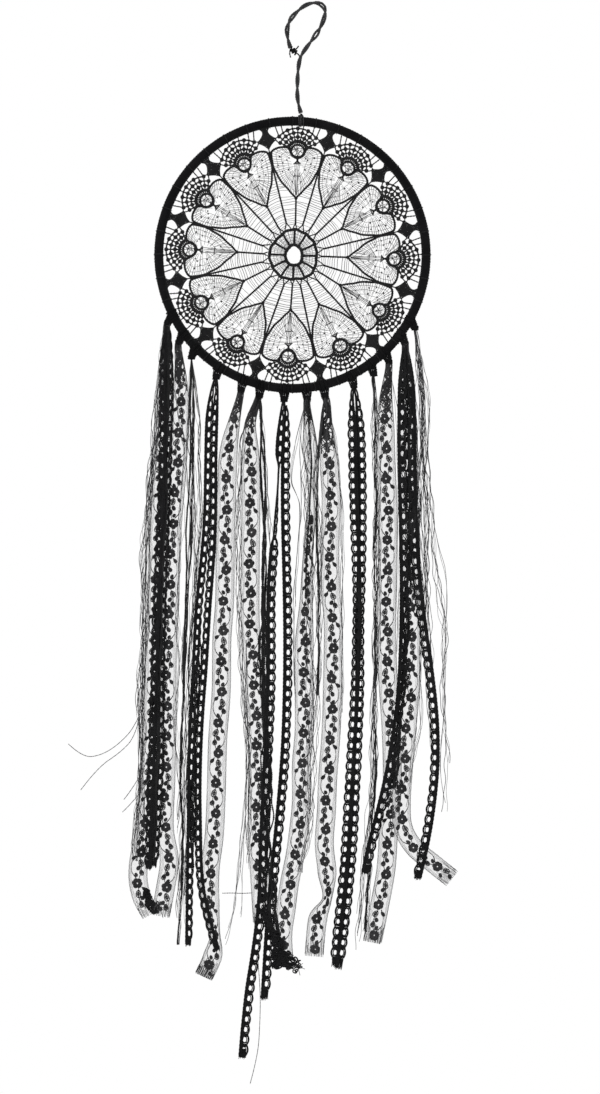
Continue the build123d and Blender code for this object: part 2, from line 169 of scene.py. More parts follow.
# Loose threads that hang with a strand: kind, how many, how far they spread, depth, and their own route
LOOSE = {
    "thread_bundle_01": [
        ("fine", 5, 1.6, 5.0, [(-109.5, -235.5), (-111, -271.5), (-113, -300), (-119, -325), (-122, -372.5),
            (-124, -430.5), (-125.5, -502.5), (-128.5, -560.5), (-128, -611)]),
        ("fine", 5, 1.6, 7.0, [(-110, -235.5), (-112, -286), (-115.5, -320), (-120, -360), (-120, -401.5),
            (-121.5, -459), (-127, -531.5), (-123.5, -574.5), (-125.5, -624)]),
        ("dark", 9, 3.0, -2.0, [(-107, -232.5), (-108, -264.5), (-108, -300.5), (-109, -343.5),
            (-111, -390.5), (-113.5, -445), (-114.5, -495.5), (-116, -546), (-117.5, -596.5),
            (-119, -619.5)]),
        ("fine", 4, 3.0, 3.5, [(-107, -234), (-103, -264.5), (-95, -307.5), (-95.5, -358), (-99.5, -408.5),
            (-98, -466.5), (-101, -517), (-97.5, -574.5), (-99.5, -611)]),
    ],
    "yarn_01": [
        ("fine", 8, 2.8, 2.0, [(-90, -254), (-91, -286), (-89.5, -329), (-86.5, -372.5), (-86, -416),
            (-89.5, -459), (-91.5, -502.5), (-93, -546), (-95.5, -589), (-97.5, -632.5), (-99.5, -676)]),
        ("fine", 7, 2.4, 3.0, [(-90, -254), (-86.5, -286), (-84.5, -315), (-84, -358), (-85, -401.5),
            (-91, -445), (-92.5, -481), (-90, -517), (-94, -560.5), (-93, -611), (-96.5, -672)]),
        ("fine", 3, 1.6, 1.0, [(-90, -254), (-94, -300.5), (-93, -343.5), (-91, -387), (-94.5, -430.5),
            (-97.5, -473.5), (-94, -517), (-98, -567.5), (-101, -611)]),
        ("twist", 1, 1.0, 0.5, [(-90, -255.5), (-90, -300.5), (-91, -336.5), (-93, -372.5), (-94, -430.5),
            (-95.5, -488), (-97.5, -546)]),
    ],
    "crochet_trim_06": [
        ("fine", 9, 3.4, 3.0, [(-42, -283), (-52.5, -307.5), (-55.5, -343.5), (-56.5, -387), (-55.5, -430.5),
            (-55, -459), (-52.5, -495.5), (-49, -531.5), (-47.5, -567.5), (-48.5, -603.5), (-50.5, -632.5)]),
        ("fine", 4, 1.6, 4.0, [(-50.5, -459), (-50.5, -502.5), (-50, -546), (-51.5, -589), (-56.5, -625.5),
            (-60, -665), (-68, -685)]),
        ("fine", 2, 1.2, 4.6, [(-50, -502.5), (-48.5, -560.5), (-54, -611), (-52.5, -650.5), (-59, -676),
            (-68, -686.5)]),
        ("fine", 5, 2.2, 2.4, [(-41, -283), (-38.5, -315), (-36, -343.5), (-34, -372.5), (-32, -401.5),
            (-33, -430.5), (-36, -459), (-39.5, -495.5)]),
        ("dark", 3, 1.6, -0.5, [(-41, -286), (-39, -309), (-37, -340), (-36.5, -370), (-38, -401),
            (-39, -440), (-37.5, -480), (-37, -520)]),
        ("dark", 8, 4.6, -1.0, [(-38.5, -420.5), (-37.5, -466.5), (-37, -502.5), (-36, -538.5),
            (-35.5, -574.5), (-35, -611), (-33, -647), (-29, -679.5)]),
        ("single", 1, 0.2, 4.2, [(-46, -642), (-53.5, -642.5), (-61.5, -642), (-70, -642.5)]),
    ],
    "crochet_trim_03": [
        ("dark", 5, 3.0, 1.2, [(-83.5, -440), (-85, -480), (-87, -520), (-88, -560), (-88, -600),
            (-89, -625)]),
    ],
    "thread_bundle_02": [
        ("fine", 2, 0.8, -3.0, [(-7, -284.5), (-13, -315), (-11.5, -336.5), (-10, -367.5), (-12.5, -381),
            (-14.5, -403), (-16, -414.5), (-14.5, -445)]),
        ("fine", 2, 0.6, -3.4, [(-7, -284.5), (-11.5, -307.5), (-10, -325.5), (-6, -337), (-0.5, -346.5),
            (3, -353.5), (5, -359)]),
        ("fine", 7, 4.0, 4.6, [(-6.5, -284.5), (-3, -315), (0, -358), (0.5, -401.5), (1.5, -445), (0.5, -488),
            (-1.5, -531.5), (-4.5, -574.5), (-7, -611)]),
        ("fine", 3, 1.2, 3.8, [(-7, -284.5), (-14.5, -315), (-19, -343.5), (-14.5, -354), (-11, -364.5),
            (-13.5, -401.5), (-17.5, -445), (-15, -502.5)]),
        ("twist", 1, 0.8, -3.2, [(-6.5, -286), (-4.5, -315), (-3.5, -343.5), (-5, -372.5), (-8, -401.5),
            (-8, -430.5)]),
    ],
    "yarn_03": [
        ("single", 1, 0.2, -4.4, [(7, -286), (8.5, -322), (8.5, -351), (8, -362.5), (7, -375.5),
            (5.5, -386.5), (2, -398), (-1.5, -408), (-3, -416)]),
        ("fine", 3, 1.6, -3.4, [(6.5, -284.5), (2, -315), (0, -343.5), (3, -372.5), (4.5, -401.5), (2, -445),
            (3, -488)]),
        ("fine", 4, 1.8, 3.4, [(6.5, -284.5), (14.5, -315), (18, -358), (19, -401.5), (18, -459),
            (19, -502.5), (17, -531.5)]),
    ],
    "yarn_04": [
        ("fine", 7, 2.8, 3.0, [(42, -266.5), (42, -300.5), (43.5, -343.5), (44, -387), (43.5, -430.5),
            (42, -473.5), (41, -517), (40.5, -560.5), (37, -596.5), (32, -647), (28, -689)]),
        ("fine", 3, 1.6, 5.0, [(42, -266.5), (46, -300.5), (47, -343.5), (45, -387), (47, -430.5),
            (45.5, -473.5), (39.5, -502.5), (42.5, -538.5), (39, -574.5), (38.5, -632.5), (33, -668.5)]),
        ("dark", 6, 3.6, -2.0, [(64.5, -246), (64.5, -271.5), (66.5, -300.5), (68, -336.5), (68, -372.5),
            (66.5, -408.5), (65, -445), (62, -488), (59, -524), (55, -567.5)]),
        ("fine", 5, 2.4, 3.4, [(64.5, -246), (71, -286), (73.5, -322), (73.5, -372.5), (76, -430.5),
            (76, -473.5), (75, -502.5), (75, -520.5), (69.5, -546), (65.5, -582)]),
        ("fine", 3, 1.4, 3.0, [(52.5, -258.5), (58, -286), (60, -329), (59, -372.5), (60, -430.5),
            (58, -473.5)]),
    ],
    "thread_bundle_03": [
        ("fine", 10, 2.8, 1.0, [(71, -236), (74.5, -257), (77.5, -286), (76, -315), (74.5, -343.5),
            (74, -372.5), (75.5, -401.5), (76.5, -430.5), (77, -459)]),
        ("fine", 8, 3.4, 0.0, [(71.5, -236), (74, -271.5), (76.5, -307.5), (78, -343.5), (78.5, -380),
            (80, -416), (80.5, -445), (82, -488)]),
        ("fine", 2, 0.8, -1.0, [(72, -236), (78, -264.5), (78.5, -300.5), (77.5, -336.5), (81.5, -358),
            (88, -391.5), (95.5, -416), (93, -459), (93, -502.5), (91, -528), (89, -560.5), (94.5, -582.5)]),
        ("fine", 6, 2.6, 2.0, [(71.5, -236), (79.5, -271.5), (81.5, -307.5), (78, -343.5), (76.5, -380),
            (79.5, -408.5), (78.5, -459), (81, -502.5), (84, -546)]),
    ],
}


rng = np.random.default_rng(12)


# ---------------------------------------------------------------- lines and meshes

def unit(vectors):
    """A vector, or rows of them, brought to length one."""
    return vectors / np.maximum(np.linalg.norm(vectors, axis=-1, keepdims=True), 1e-9)


def distances(line):
    """How far along a line of points each of them is."""
    return np.concatenate([[0], np.cumsum(np.linalg.norm(np.diff(line, axis=0), axis=1))])


def directions(line, up, loop=False):
    """The direction of a line at each point, and the two directions square to it."""
    along = unit(np.roll(line, -1, 0) - np.roll(line, 1, 0) if loop else np.gradient(line, axis=0))
    side = unit(np.cross(along, np.broadcast_to(up, line.shape)))
    return along, side, np.cross(side, along)


def circle(count):
    """Angles spaced evenly round a circle."""
    return np.arange(count) * 2 * np.pi / count


def oval(centre, first, second, count):
    """A closed loop of points, from its middle and its two half axes."""
    turn = circle(count)[:, None]
    return centre + np.cos(turn) * first + np.sin(turn) * second


def random_tilt(draw, share=(1, 1, 1)):
    """A direction drawn at random, and two more square to it and to each other."""
    tilt = unit(draw.normal(size=3) * share)
    first = unit(np.cross(tilt, draw.normal(size=3)))
    return tilt, first, np.cross(tilt, first)


def smooth(value):
    """0 to 1 with a level start and end."""
    value = np.clip(value, 0, 1)
    return value * value * (3 - 2 * value)


def wander(length, seed, wave, size):
    """A slow, smooth, uneven wave along a length."""
    draw = np.random.default_rng(seed)
    total = np.zeros_like(length)
    for share in (1.0, 0.47, 0.23):
        pace = draw.uniform(0.8, 1.25)
        total += share * np.sin(length / (wave * share) * 2 * np.pi * pace + draw.uniform(0, 6.3))
    return total * size / 1.2


def curve_through(points, count):
    """A smooth line through a few points."""
    points = np.asarray(points, float)
    padded = np.vstack([2 * points[0] - points[1], points, 2 * points[-1] - points[-2]])
    at = np.linspace(0, len(points) - 1, count)
    i = np.minimum(at.astype(int), len(points) - 2)
    t = (at - i)[:, None]
    a, b, c, d = padded[i], padded[i + 1], padded[i + 2], padded[i + 3]
    square, cube = 2 * a - 5 * b + 4 * c - d, 3 * b - a - 3 * c + d
    return 0.5 * (2 * b + (c - a) * t + square * t ** 2 + cube * t ** 3)


def quad_grid(rows, columns, deep, wide):
    """Quads over a grid of deep by wide points, which closes on itself, and each quad's row and column."""
    i, j = [index.ravel() for index in np.indices((rows, columns))]
    i2, j2 = (i + 1) % deep, (j + 1) % wide
    return i, j, np.stack([i * wide + j, i2 * wide + j, i2 * wide + j2, i * wide + j2], 1)


def corner_uvs(i, j, u, v):
    """The four corners' places of each quad, from the lengths at the rows and at the columns."""
    return np.stack([u[i], v[j], u[i + 1], v[j], u[i + 1], v[j + 1], u[i], v[j + 1]], 1).reshape(-1, 4, 2)


class Shape:
    """Collects threads and small forms, in millimetres, and turns them into one Blender object, in metres."""

    def __init__(self):
        self.points = []
        self.faces = {3: [], 4: []}
        self.uvs = {3: [], 4: []}
        self.count = 0

    def add(self, faces, uvs=None):
        """Adds faces of three or four corners, with a (u, v) in millimetres for each corner."""
        size = faces.shape[1]
        self.faces[size].append(faces + self.count)
        self.uvs[size].append(np.zeros((len(faces), size, 2)) if uvs is None else uvs)

    def close(self, points):
        """Adds the points that the faces since the last close are counted from."""
        self.points.append(points)
        self.count += len(points)

    def tube(self, line, radius, sides=6, loop=False, up=DEPTH):
        """A thread along a line of points, with round ends unless it is a loop."""
        line = np.asarray(line, float)
        count = len(line)
        radius = np.broadcast_to(radius, count)
        along, side, top = directions(line, up, loop)
        turn = circle(sides)[None, :, None]
        ring = np.cos(turn) * side[:, None] + np.sin(turn) * top[:, None]
        points = (line[:, None] + ring * radius[:, None, None]).reshape(-1, 3)
        i, j, quads = quad_grid(count if loop else count - 1, sides, count, sides)
        length = distances(np.vstack([line, line[:1]]))
        around = np.arange(sides + 1) / sides * 2 * np.pi * float(radius.mean())
        self.add(quads, corner_uvs(i, j, length, around))
        if not loop:
            k = np.arange(sides)
            for end, sign, first in ((0, -1, 0), (count - 1, 1, (count - 1) * sides)):
                ring_a, ring_b = first + k, first + (k + 1) % sides
                centre = np.full(sides, len(points))
                self.add(np.stack([ring_a, ring_b, centre] if sign > 0 else [ring_b, ring_a, centre], 1))
                points = np.vstack([points, line[end] + sign * along[end] * radius[end] * 0.6])
        self.close(points)

    def rope(self, line, radius, pitch, strands=2, sides=6, loop=False, up=DEPTH, phase=0.0, spread=0.52):
        """Strands twisted round a line, together about as thick as one tube of that radius."""
        line = np.asarray(line, float)
        length = distances(line)
        if loop:
            total = distances(np.vstack([line, line[:1]]))[-1]
            pitch = total / max(1, round(total / pitch))
        along, side, top = directions(line, up, loop)
        radius = np.broadcast_to(radius, len(line))
        for strand in range(strands):
            turn = length / pitch * 2 * np.pi + phase + strand * 2 * np.pi / strands
            out = np.cos(turn)[:, None] * side + np.sin(turn)[:, None] * top
            self.tube(line + out * (radius * spread)[:, None], radius * (1 - spread) * 1.12, sides, loop, up)

    def grid(self, points, uvs, loop=False):
        """A sheet of quads over a grid of points (rows, columns, 3), joined up both ways if it is a loop."""
        rows, columns = points.shape[:2]
        open_edge = 0 if loop else 1
        i, j, quads = quad_grid(rows - open_edge, columns - open_edge, rows, columns)
        self.add(quads, np.stack([uvs[i, j], uvs[i + 1, j], uvs[i + 1, j + 1], uvs[i, j + 1]], 1))
        self.close(points.reshape(-1, 3))

    def ball(self, centre, radii, rings=5, sides=8):
        """A small round form."""
        centre = np.asarray(centre)
        radii = np.broadcast_to(radii, 3)
        up, turn = np.meshgrid(np.linspace(0, np.pi, rings + 2)[1:-1], circle(sides), indexing="ij")
        ring = np.stack([np.sin(up) * np.cos(turn), np.sin(up) * np.sin(turn), np.cos(up)], 2)
        poles = np.array([[0, 0, 1], [0, 0, -1]])
        i, j, quads = quad_grid(rings - 1, sides, rings, sides)
        step = float(radii.mean()) * 0.5
        self.add(quads, corner_uvs(i, j, np.arange(rings) * step, np.arange(sides + 1) * step))
        k = np.arange(sides)
        k2 = (k + 1) % sides
        low = (rings - 1) * sides
        self.add(np.stack([k, k2, np.full(sides, rings * sides)], 1))
        self.add(np.stack([low + k2, low + k, np.full(sides, rings * sides + 1)], 1))
        self.close(centre + np.vstack([ring.reshape(-1, 3), poles]) * radii)

    def make(self, name, material, body, replaces=(), slot=None):
        """The Blender object, riding on its body."""
        sizes = [size for size in (3, 4) if self.faces[size]]
        faces = {size: np.concatenate(self.faces[size]) for size in sizes}
        uvs = np.concatenate([np.concatenate(self.uvs[size]).reshape(-1, 2) for size in sizes])
        corners = np.concatenate([faces[size].ravel() for size in sizes]).astype(np.int32)
        corner_counts = np.concatenate([np.full(len(faces[size]), size) for size in sizes])
        starts = np.concatenate([[0], np.cumsum(corner_counts)[:-1]]).astype(np.int32)
        points = np.concatenate(self.points) * MM
        mesh = bpy.data.meshes.new(name)
        mesh.vertices.add(len(points))
        mesh.vertices.foreach_set("co", points.astype(np.float32).ravel())
        mesh.loops.add(len(corners))
        mesh.loops.foreach_set("vertex_index", corners)
        mesh.polygons.add(len(starts))
        mesh.polygons.foreach_set("loop_start", starts)
        mesh.update(calc_edges=True)
        layer = mesh.uv_layers.new(name="UVMap")
        layer.data.foreach_set("uv", uvs.astype(np.float32).ravel())
        mesh.validate()
        mesh.shade_smooth()
        mesh.materials.append(material)
        piece = bpy.data.objects.new(name, mesh)
        bpy.context.scene.collection.objects.link(piece)
        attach(piece, body)
        if replaces:
            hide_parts(*replaces)
        return piece


class Path:
    """A strand's line, read from the NURBS spline of its route, with its directions and lengths."""

    def __init__(self, route, depth, step, top=None):
        curve = bpy.data.curves.new("route", "CURVE")
        curve.dimensions = "3D"
        spline = curve.splines.new("NURBS")
        corners = ([top] if top else []) + [(x, depth, z) for x, z in route]
        spline.points.add(len(corners) - 1)
        for point, corner in zip(spline.points, corners):
            point.co = (*[value * MM for value in corner], 1)
        spline.order_u = 3
        spline.use_endpoint_u = True
        spline.resolution_u = 16
        bare = bpy.data.objects.new("route", curve)
        mesh = bpy.data.meshes.new_from_object(bare)
        line = np.zeros(len(mesh.vertices) * 3)
        mesh.vertices.foreach_get("co", line)
        bpy.data.objects.remove(bare)
        bpy.data.curves.remove(curve)
        bpy.data.meshes.remove(mesh)
        self.metres = line.reshape(-1, 3)
        line = self.metres / MM
        places = distances(line)
        self.total = places[-1]
        self.length = np.linspace(0, self.total, int(self.total / step) + 1)
        self.line = np.stack([np.interp(self.length, places, line[:, k]) for k in range(3)], 1)
        self.along, self.side, _ = directions(self.line, DEPTH)

    def at(self, length, across, out, roll=0.0):
        """Points beside the line: across to the strand's own right, out to the back, turned by a roll."""
        length = np.asarray(length, float)
        line, side = [np.stack([np.interp(length, self.length, a[:, k]) for k in range(3)], -1)
                      for a in (self.line, self.side)]
        c, s = np.cos(roll), np.sin(roll)
        return line + side * (across * c - out * s)[..., None] + DEPTH * (across * s + out * c)[..., None]


# ---------------------------------------------------------------- materials

def new_material(name):
    """A material, its node tree and its shader."""
    material = bpy.data.materials.new(name)
    material.use_nodes = True
    tree = material.node_tree
    return material, tree, tree.nodes["Principled BSDF"]


def set_inputs(made, values):
    """Plain values for a node's inputs, by name or number."""
    for key, value in values.items():
        made.inputs[key].default_value = value


def node(tree, kind, links=(), values=(), **settings):
    """A shader node with its settings, the plain values of its inputs, and (input, output) links into it."""
    made = tree.nodes.new(kind)
    for key, value in settings.items():
        setattr(made, key, value)
    set_inputs(made, dict(values))
    for socket, output in links:
        tree.links.new(output, made.inputs[socket])
    return made


def noise(tree, where, scale, detail=2):
    """Noise fixed to the object, scaled per metre."""
    return node(tree, "ShaderNodeTexNoise", [("Vector", where.outputs["Object"])],
                {"Scale": scale, "Detail": detail}).outputs["Fac"]


def maths(tree, operation, first, second):
    """A sum or product of an output with another output or a number."""
    if isinstance(second, float):
        return node(tree, "ShaderNodeMath", [(0, first)], {1: second}, operation=operation).outputs[0]
    return node(tree, "ShaderNodeMath", [(0, first), (1, second)], operation=operation).outputs[0]


def colour_mix(tree, factor, first, second):
    """A colour between two, by an output from 0 to 1."""
    colours = {6: (*first, 1), 7: (*second, 1)}
    return node(tree, "ShaderNodeMix", [(0, factor)], colours, data_type="RGBA").outputs[2]


def cotton(name, dark, pale, rough, sheen=0.05, twist=1.4, bump=0.5, shine=0.1):
    """Spun cotton: twist lines along the thread, uneven dye and fine fuzz."""
    material, tree, shader = new_material(name)
    where = node(tree, "ShaderNodeTexCoord")
    split = node(tree, "ShaderNodeSeparateXYZ", [(0, where.outputs["UV"])])
    diagonal = maths(tree, "ADD", split.outputs[0], split.outputs[1])
    turns = maths(tree, "MULTIPLY", diagonal, 2 * np.pi / twist)
    wave = node(tree, "ShaderNodeMath", [(0, turns)], operation="SINE")
    fuzz, dye = noise(tree, where, 900, 4), noise(tree, where, 55)
    shade = node(tree, "ShaderNodeMapRange", [(0, maths(tree, "MULTIPLY", fuzz, dye))], {1: 0.12, 2: 0.42})
    level = node(tree, "ShaderNodeMapRange", [(0, fuzz)], {3: rough - 0.1, 4: rough + 0.1})
    height = maths(tree, "ADD", wave.outputs[0], fuzz)
    relief = node(tree, "ShaderNodeBump", [("Height", height)], {"Strength": bump, "Distance": 0.0001})
    tree.links.new(colour_mix(tree, shade.outputs[0], dark, pale), shader.inputs["Base Color"])
    tree.links.new(level.outputs[0], shader.inputs["Roughness"])
    tree.links.new(relief.outputs[0], shader.inputs["Normal"])
    set_inputs(shader, {"Sheen Weight": sheen, "Sheen Roughness": 0.45, "Specular IOR Level": shine})
    return material


def sheer_net(name, colour, cell, wall, solid, open_share):
    """Fine net: a cell pattern of the ribbon's own length and width decides what shows through."""
    material, tree, shader = new_material(name)
    where = node(tree, "ShaderNodeTexCoord")
    scaled = node(tree, "ShaderNodeVectorMath", [(0, where.outputs["UV"])], {"Scale": 1 / cell},
                  operation="SCALE")
    cells = node(tree, "ShaderNodeTexVoronoi", [("Vector", scaled.outputs[0])], feature="DISTANCE_TO_EDGE",
                 voronoi_dimensions="2D")
    set_inputs(cells, {"Scale": 1, "Randomness": 0.55})
    cover = node(tree, "ShaderNodeMapRange", [(0, cells.outputs["Distance"])],
                 {1: wall * 0.5, 2: wall, 3: solid, 4: open_share})
    tint = colour_mix(tree, noise(tree, where, 700), [c * 0.6 for c in colour], [c * 1.4 for c in colour])
    tree.links.new(cover.outputs[0], shader.inputs["Alpha"])
    tree.links.new(tint, shader.inputs["Base Color"])
    set_inputs(shader, {"Roughness": 0.7, "Specular IOR Level": 0.2})
    return material


def steel(name):
    """Drawn steel wire, its roughness made uneven by fine noise."""
    material, tree, shader = new_material(name)
    where = node(tree, "ShaderNodeTexCoord")
    level = node(tree, "ShaderNodeMapRange", [(0, noise(tree, where, 300))], {3: 0.3, 4: 0.5})
    tree.links.new(level.outputs[0], shader.inputs["Roughness"])
    set_inputs(shader, {"Base Color": (0.45, 0.45, 0.46, 1), "Metallic": 1.0})
    return material


WRAP = cotton("wrap_tape", (0.001, 0.001, 0.0012), (0.0045, 0.0045, 0.005), 0.8, sheen=0.015, twist=0.5,
              bump=0.6, shine=0.06)
DOILY = cotton("doily_cotton", (0.0014, 0.0014, 0.0016), (0.009, 0.009, 0.0096), 0.62)
FINE = cotton("fine_doily_thread", (0.006, 0.006, 0.0066), (0.03, 0.03, 0.0315), 0.6, twist=0.5)
CORD = cotton("hanger_cord", (0.003, 0.003, 0.0034), (0.022, 0.022, 0.0235), 0.55, twist=1.6, shine=0.2)
KNOT = cotton("knot_cotton", (0.001, 0.001, 0.0012), (0.005, 0.005, 0.0055), 0.75, sheen=0.02, shine=0.06)
TRIM = cotton("trim_cotton", (0.0012, 0.0012, 0.0014), (0.007, 0.007, 0.0076), 0.65, sheen=0.03, shine=0.07)
LACE = cotton("lace_flower", (0.005, 0.005, 0.0055), (0.028, 0.0275, 0.029), 0.65, twist=0.9)
YARN = cotton("yarn", (0.0014, 0.0014, 0.0016), (0.011, 0.011, 0.0116), 0.75, sheen=0.08, twist=1.2)
FIBRE = cotton("fine_thread", (0.012, 0.012, 0.013), (0.06, 0.06, 0.063), 0.6, twist=0.6)
NET = sheer_net("lace_net", (0.16, 0.16, 0.165), cell=0.95, wall=0.16, solid=0.5, open_share=0.04)
STEEL = steel("steel_ring")


# ---------------------------------------------------------------- camera

VIEW_X = -11.55
VIEW_Z = -392.0
VIEW_HEIGHT = 789.9
CAMERA_AWAY = 3.4

camera_data = bpy.data.cameras.new("camera")
camera_data.sensor_width = 36
camera_data.lens = 36 * CAMERA_AWAY / (VIEW_HEIGHT * MM)
camera_data.clip_end = 20
camera = bpy.data.objects.new("camera", camera_data)
camera.location = (VIEW_X * MM, -CAMERA_AWAY, VIEW_Z * MM)
camera.rotation_euler = (np.pi / 2, 0, 0)
bpy.context.scene.collection.objects.link(camera)
bpy.context.scene.camera = camera


# ---------------------------------------------------------------- hanger

TWIST_PITCH = 24                       # the hanger's two strands turn once round each other in this length
STRAND_PITCH = 2.2                     # and the plies of a thin cord in this one
# The overhand knot's axis, from its upper end to its lower one, and the cord's ends that stick out of it
HANGER_KNOT = np.array([(-19.2, 0, -31.2), (-13.4, 0, -36.2)])
HANGER_ENDS = [[(-18.2, -0.6, -32.8), (-19.0, -1.0, -35.5), (-18.4, -1.2, -38.6)],
               [(-15.5, 0.6, -33.4), (-13.6, 0.9, -31.6), (-12.6, 0.8, -30.2)],
               [(-14.4, -0.4, -35.4), (-12.8, -0.8, -36.4), (-11.7, -0.9, -38.0)]]


def hanger():
    """The doubled cord with its loop, and the knot that closes the loop."""
    path = Path(HANGER_ROUTE, 0.0, 0.5)
    shape = Shape()
    # the two strands part a little where the cord bends most
    share = path.length / path.total
    gap = 0.75 + sum(0.5 * np.exp(-((share - place) / 0.045) ** 2) for place in (0.47, 0.60, 0.86))
    for strand in (0, np.pi):
        turn = path.length / TWIST_PITCH * 2 * np.pi + strand
        line = path.at(path.length, gap * np.cos(turn), gap * np.sin(turn))
        shape.rope(line, 1.0, STRAND_PITCH, strands=3, sides=5, spread=0.5)
    cord = shape.make("hanger_cord_strands", CORD, "hanger", ["hanger_cord"], "hanger_cord")

    shape = Shape()
    middle = HANGER_KNOT.mean(0)
    axis = unit(HANGER_KNOT[1] - HANGER_KNOT[0])
    for index, offset in enumerate(np.linspace(-2.3, 2.3, 5)):
        lean = 0.55 if index % 2 else -0.35
        size = 1.75 - 0.12 * abs(offset)
        loop = oval(middle + axis * offset, np.cross(axis, DEPTH) * size + axis * lean, DEPTH * size, 21)
        shape.rope(loop, 0.62, STRAND_PITCH, sides=5, loop=True, up=axis)
    shape.ball(middle, (1.9, 1.5, 1.7))
    for end in HANGER_ENDS:
        shape.rope(curve_through(end, 10), 0.6, 2.0, sides=5)
    knot = shape.make("hanger_knot_turns", KNOT, "hanger", ["hanger_knot"], "hanger_cord")


# ---------------------------------------------------------------- hoop

WINDING_RADIUS = WRAP_RADIUS - 0.1     # the tape's ridges just reach the smooth CAD tube
TAPE_TURNS = 312
KNOT_OUT = 4.7                         # a knot's middle is this far outside the hoop's tube,
KNOT_DROP = 3.0                        # and this much lower
TAILS_DROP = 3.6                       # the tails start a little lower still, inside the knot


def hoop_point(angle, out=0.0, back=0.0):
    """A point by the hoop's tube: angle in degrees from straight down towards +X, moved outwards and back."""
    angle = np.radians(angle)
    reach = HOOP_RADIUS + out
    x, z = HOOP_X + reach * np.sin(angle), HOOP_Z - reach * np.cos(angle)
    return np.stack(np.broadcast_arrays(x, back, z), -1)


def hoop_winding():
    """The ring wound with tape: each turn is a low ridge round the tube."""
    rows, sides = TAPE_TURNS * 7, 16
    at, by = np.meshgrid(np.arange(rows + 1) / rows, np.arange(sides + 1) / sides, indexing="ij")
    tape = TAPE_TURNS * at + by
    ridge = np.abs(np.sin(np.pi * tape))
    lift = rng.uniform(-0.07, 0.07, TAPE_TURNS + 2)[np.floor(tape).astype(int) % TAPE_TURNS]
    radius = WINDING_RADIUS - 0.26 + 0.24 * np.sqrt(ridge) + lift * ridge
    angle = by * 2 * np.pi
    points = hoop_point(at * 360, radius * np.cos(angle), radius * np.sin(angle))
    uvs = np.stack([at * 2 * np.pi * HOOP_RADIUS, by * 2 * np.pi * WRAP_RADIUS], -1)
    shape = Shape()
    shape.grid(points[:-1, :-1], uvs, loop=True)
    shape.make("hoop_winding", WRAP, "hoop", ["hoop_wrap"], "wrap_tape")


def coil(shape, angle, length, turns, inside, thread, seed):
    """Turns of a cord round the hoop's tube, centred at an angle."""
    draw = np.random.default_rng(seed)
    t = np.linspace(0, turns, int(turns * 18) + 1)
    spread = np.degrees(length / HOOP_RADIUS) * (1 - 1 / turns)
    at = angle + (t / turns - 0.5) * spread + 0.25 * np.sin(t * 2.1 + draw.uniform(0, 6))
    reach = inside + thread + 0.12 * np.sin(t * 1.7 + draw.uniform(0, 6))
    turn = t * 2 * np.pi + draw.uniform(0, 6)
    line = hoop_point(at, reach * np.cos(turn), reach * np.sin(turn))
    shape.rope(line, thread * 1.05, 2.1, sides=5, up=line - hoop_point(at))


def tail_knots():
    """Where each tail is tied: turns round the winding, and a knot just outside and below it."""
    for number, (angle, length) in enumerate(TAIL_KNOTS, start=1):
        shape = Shape()
        coil(shape, angle, length, max(3, round(length / 1.25)), WINDING_RADIUS - 0.15, 0.62, number)
        centre = hoop_point(angle, KNOT_OUT) - (0, 0, KNOT_DROP)
        draw = np.random.default_rng(100 + number)
        for loop_number in range(5):
            tilt, first, second = random_tilt(draw)
            size = 2.0 + 0.15 * loop_number / 4
            loop = oval(centre + tilt * draw.uniform(-0.6, 0.6), first * size, second * size, 19)
            shape.rope(loop, 0.66, STRAND_PITCH, sides=5, loop=True, up=loop - centre)
        shape.ball(centre, 2.0)
        # the tails' own cords, from the winding through the knot
        for shift in (-1.9, -1.0, 0.0, 1.0, 1.9):
            for back in (-0.9, 0.7):
                start = hoop_point(angle + shift * 1.1, 1.2) + (0, back * 1.6, 0)
                middle = (start + centre) / 2 + (shift * 0.5, back * 0.8, 0)
                line = curve_through([start, middle, centre + (shift, back * 1.2, -1.8)], 9)
                shape.rope(line, 0.95, STRAND_PITCH, sides=5)
        shape.make(f"tail_knot_turns_{number:02d}", KNOT, "hoop", [f"tail_knot_{number:02d}"], "knot_cotton")


def hitch():
    """The hanger's turns round the top of the hoop."""
    shape = Shape()
    coil(shape, HITCH_ANGLE, 5.6, 4, WINDING_RADIUS, 0.6, 77)
    top = hoop_point(HITCH_ANGLE, 4.4)
    for shift in (-0.65, 0.65):
        corners = [top + (shift * 1.6, 0, -1.4), top + (shift, shift * 0.8, -0.2), (top[0], 0, -79.4)]
        shape.rope(curve_through(corners, 8), 0.72, STRAND_PITCH, sides=5)
    shape.make("hanger_hitch_turns", CORD, "hitch", ["hanger_hitch"], "hanger_cord")


# ---------------------------------------------------------------- doily

DOILY_TURN = 2.4                       # degrees from straight up to the first heart, towards +X
HEARTS = 12
SECTOR = 360 / HEARTS
HALF_SECTOR = SECTOR / 2
CHAIN_RADIUS = 93.6                    # the chain along the hoop
NOTCH_RADIUS = 74.2                    # the middle of the small ring in each heart's notch
FAN_STEP = 13                          # degrees between a fan's spokes
# Half of a heart's outline from its tip, round the lobe, to the notch: (radius, degrees from its middle)
HEART_SIDE = [(40.4, 0), (44.0, 4.5), (48.2, 7.9), (52.0, 10.9), (56.0, 12.6), (60.0, 13.6), (63.6, 14.6),
              (68.0, 14.6), (72.0, 14.4), (75.2, 14.0), (76.8, 12.4), (77.7, 10.0), (77.7, 7.6), (77.0, 5.3),
              (75.2, 4.3), (73.0, 3.9), (71.0, 3.0), (69.4, 1.5), (69.0, 0)]
# Small stitches in a heart's filling: (degrees from its middle, radius, size)
HEART_DOTS = [(5.0, 69.3, 0.62), (6.4, 68.0, 0.62), (10.2, 71.0, 0.75), (8.8, 66.2, 0.62), (5.6, 61.0, 0.7),
              (9.6, 60.0, 0.6), (3.4, 52.0, 0.6), (11.6, 65.0, 0.55)]
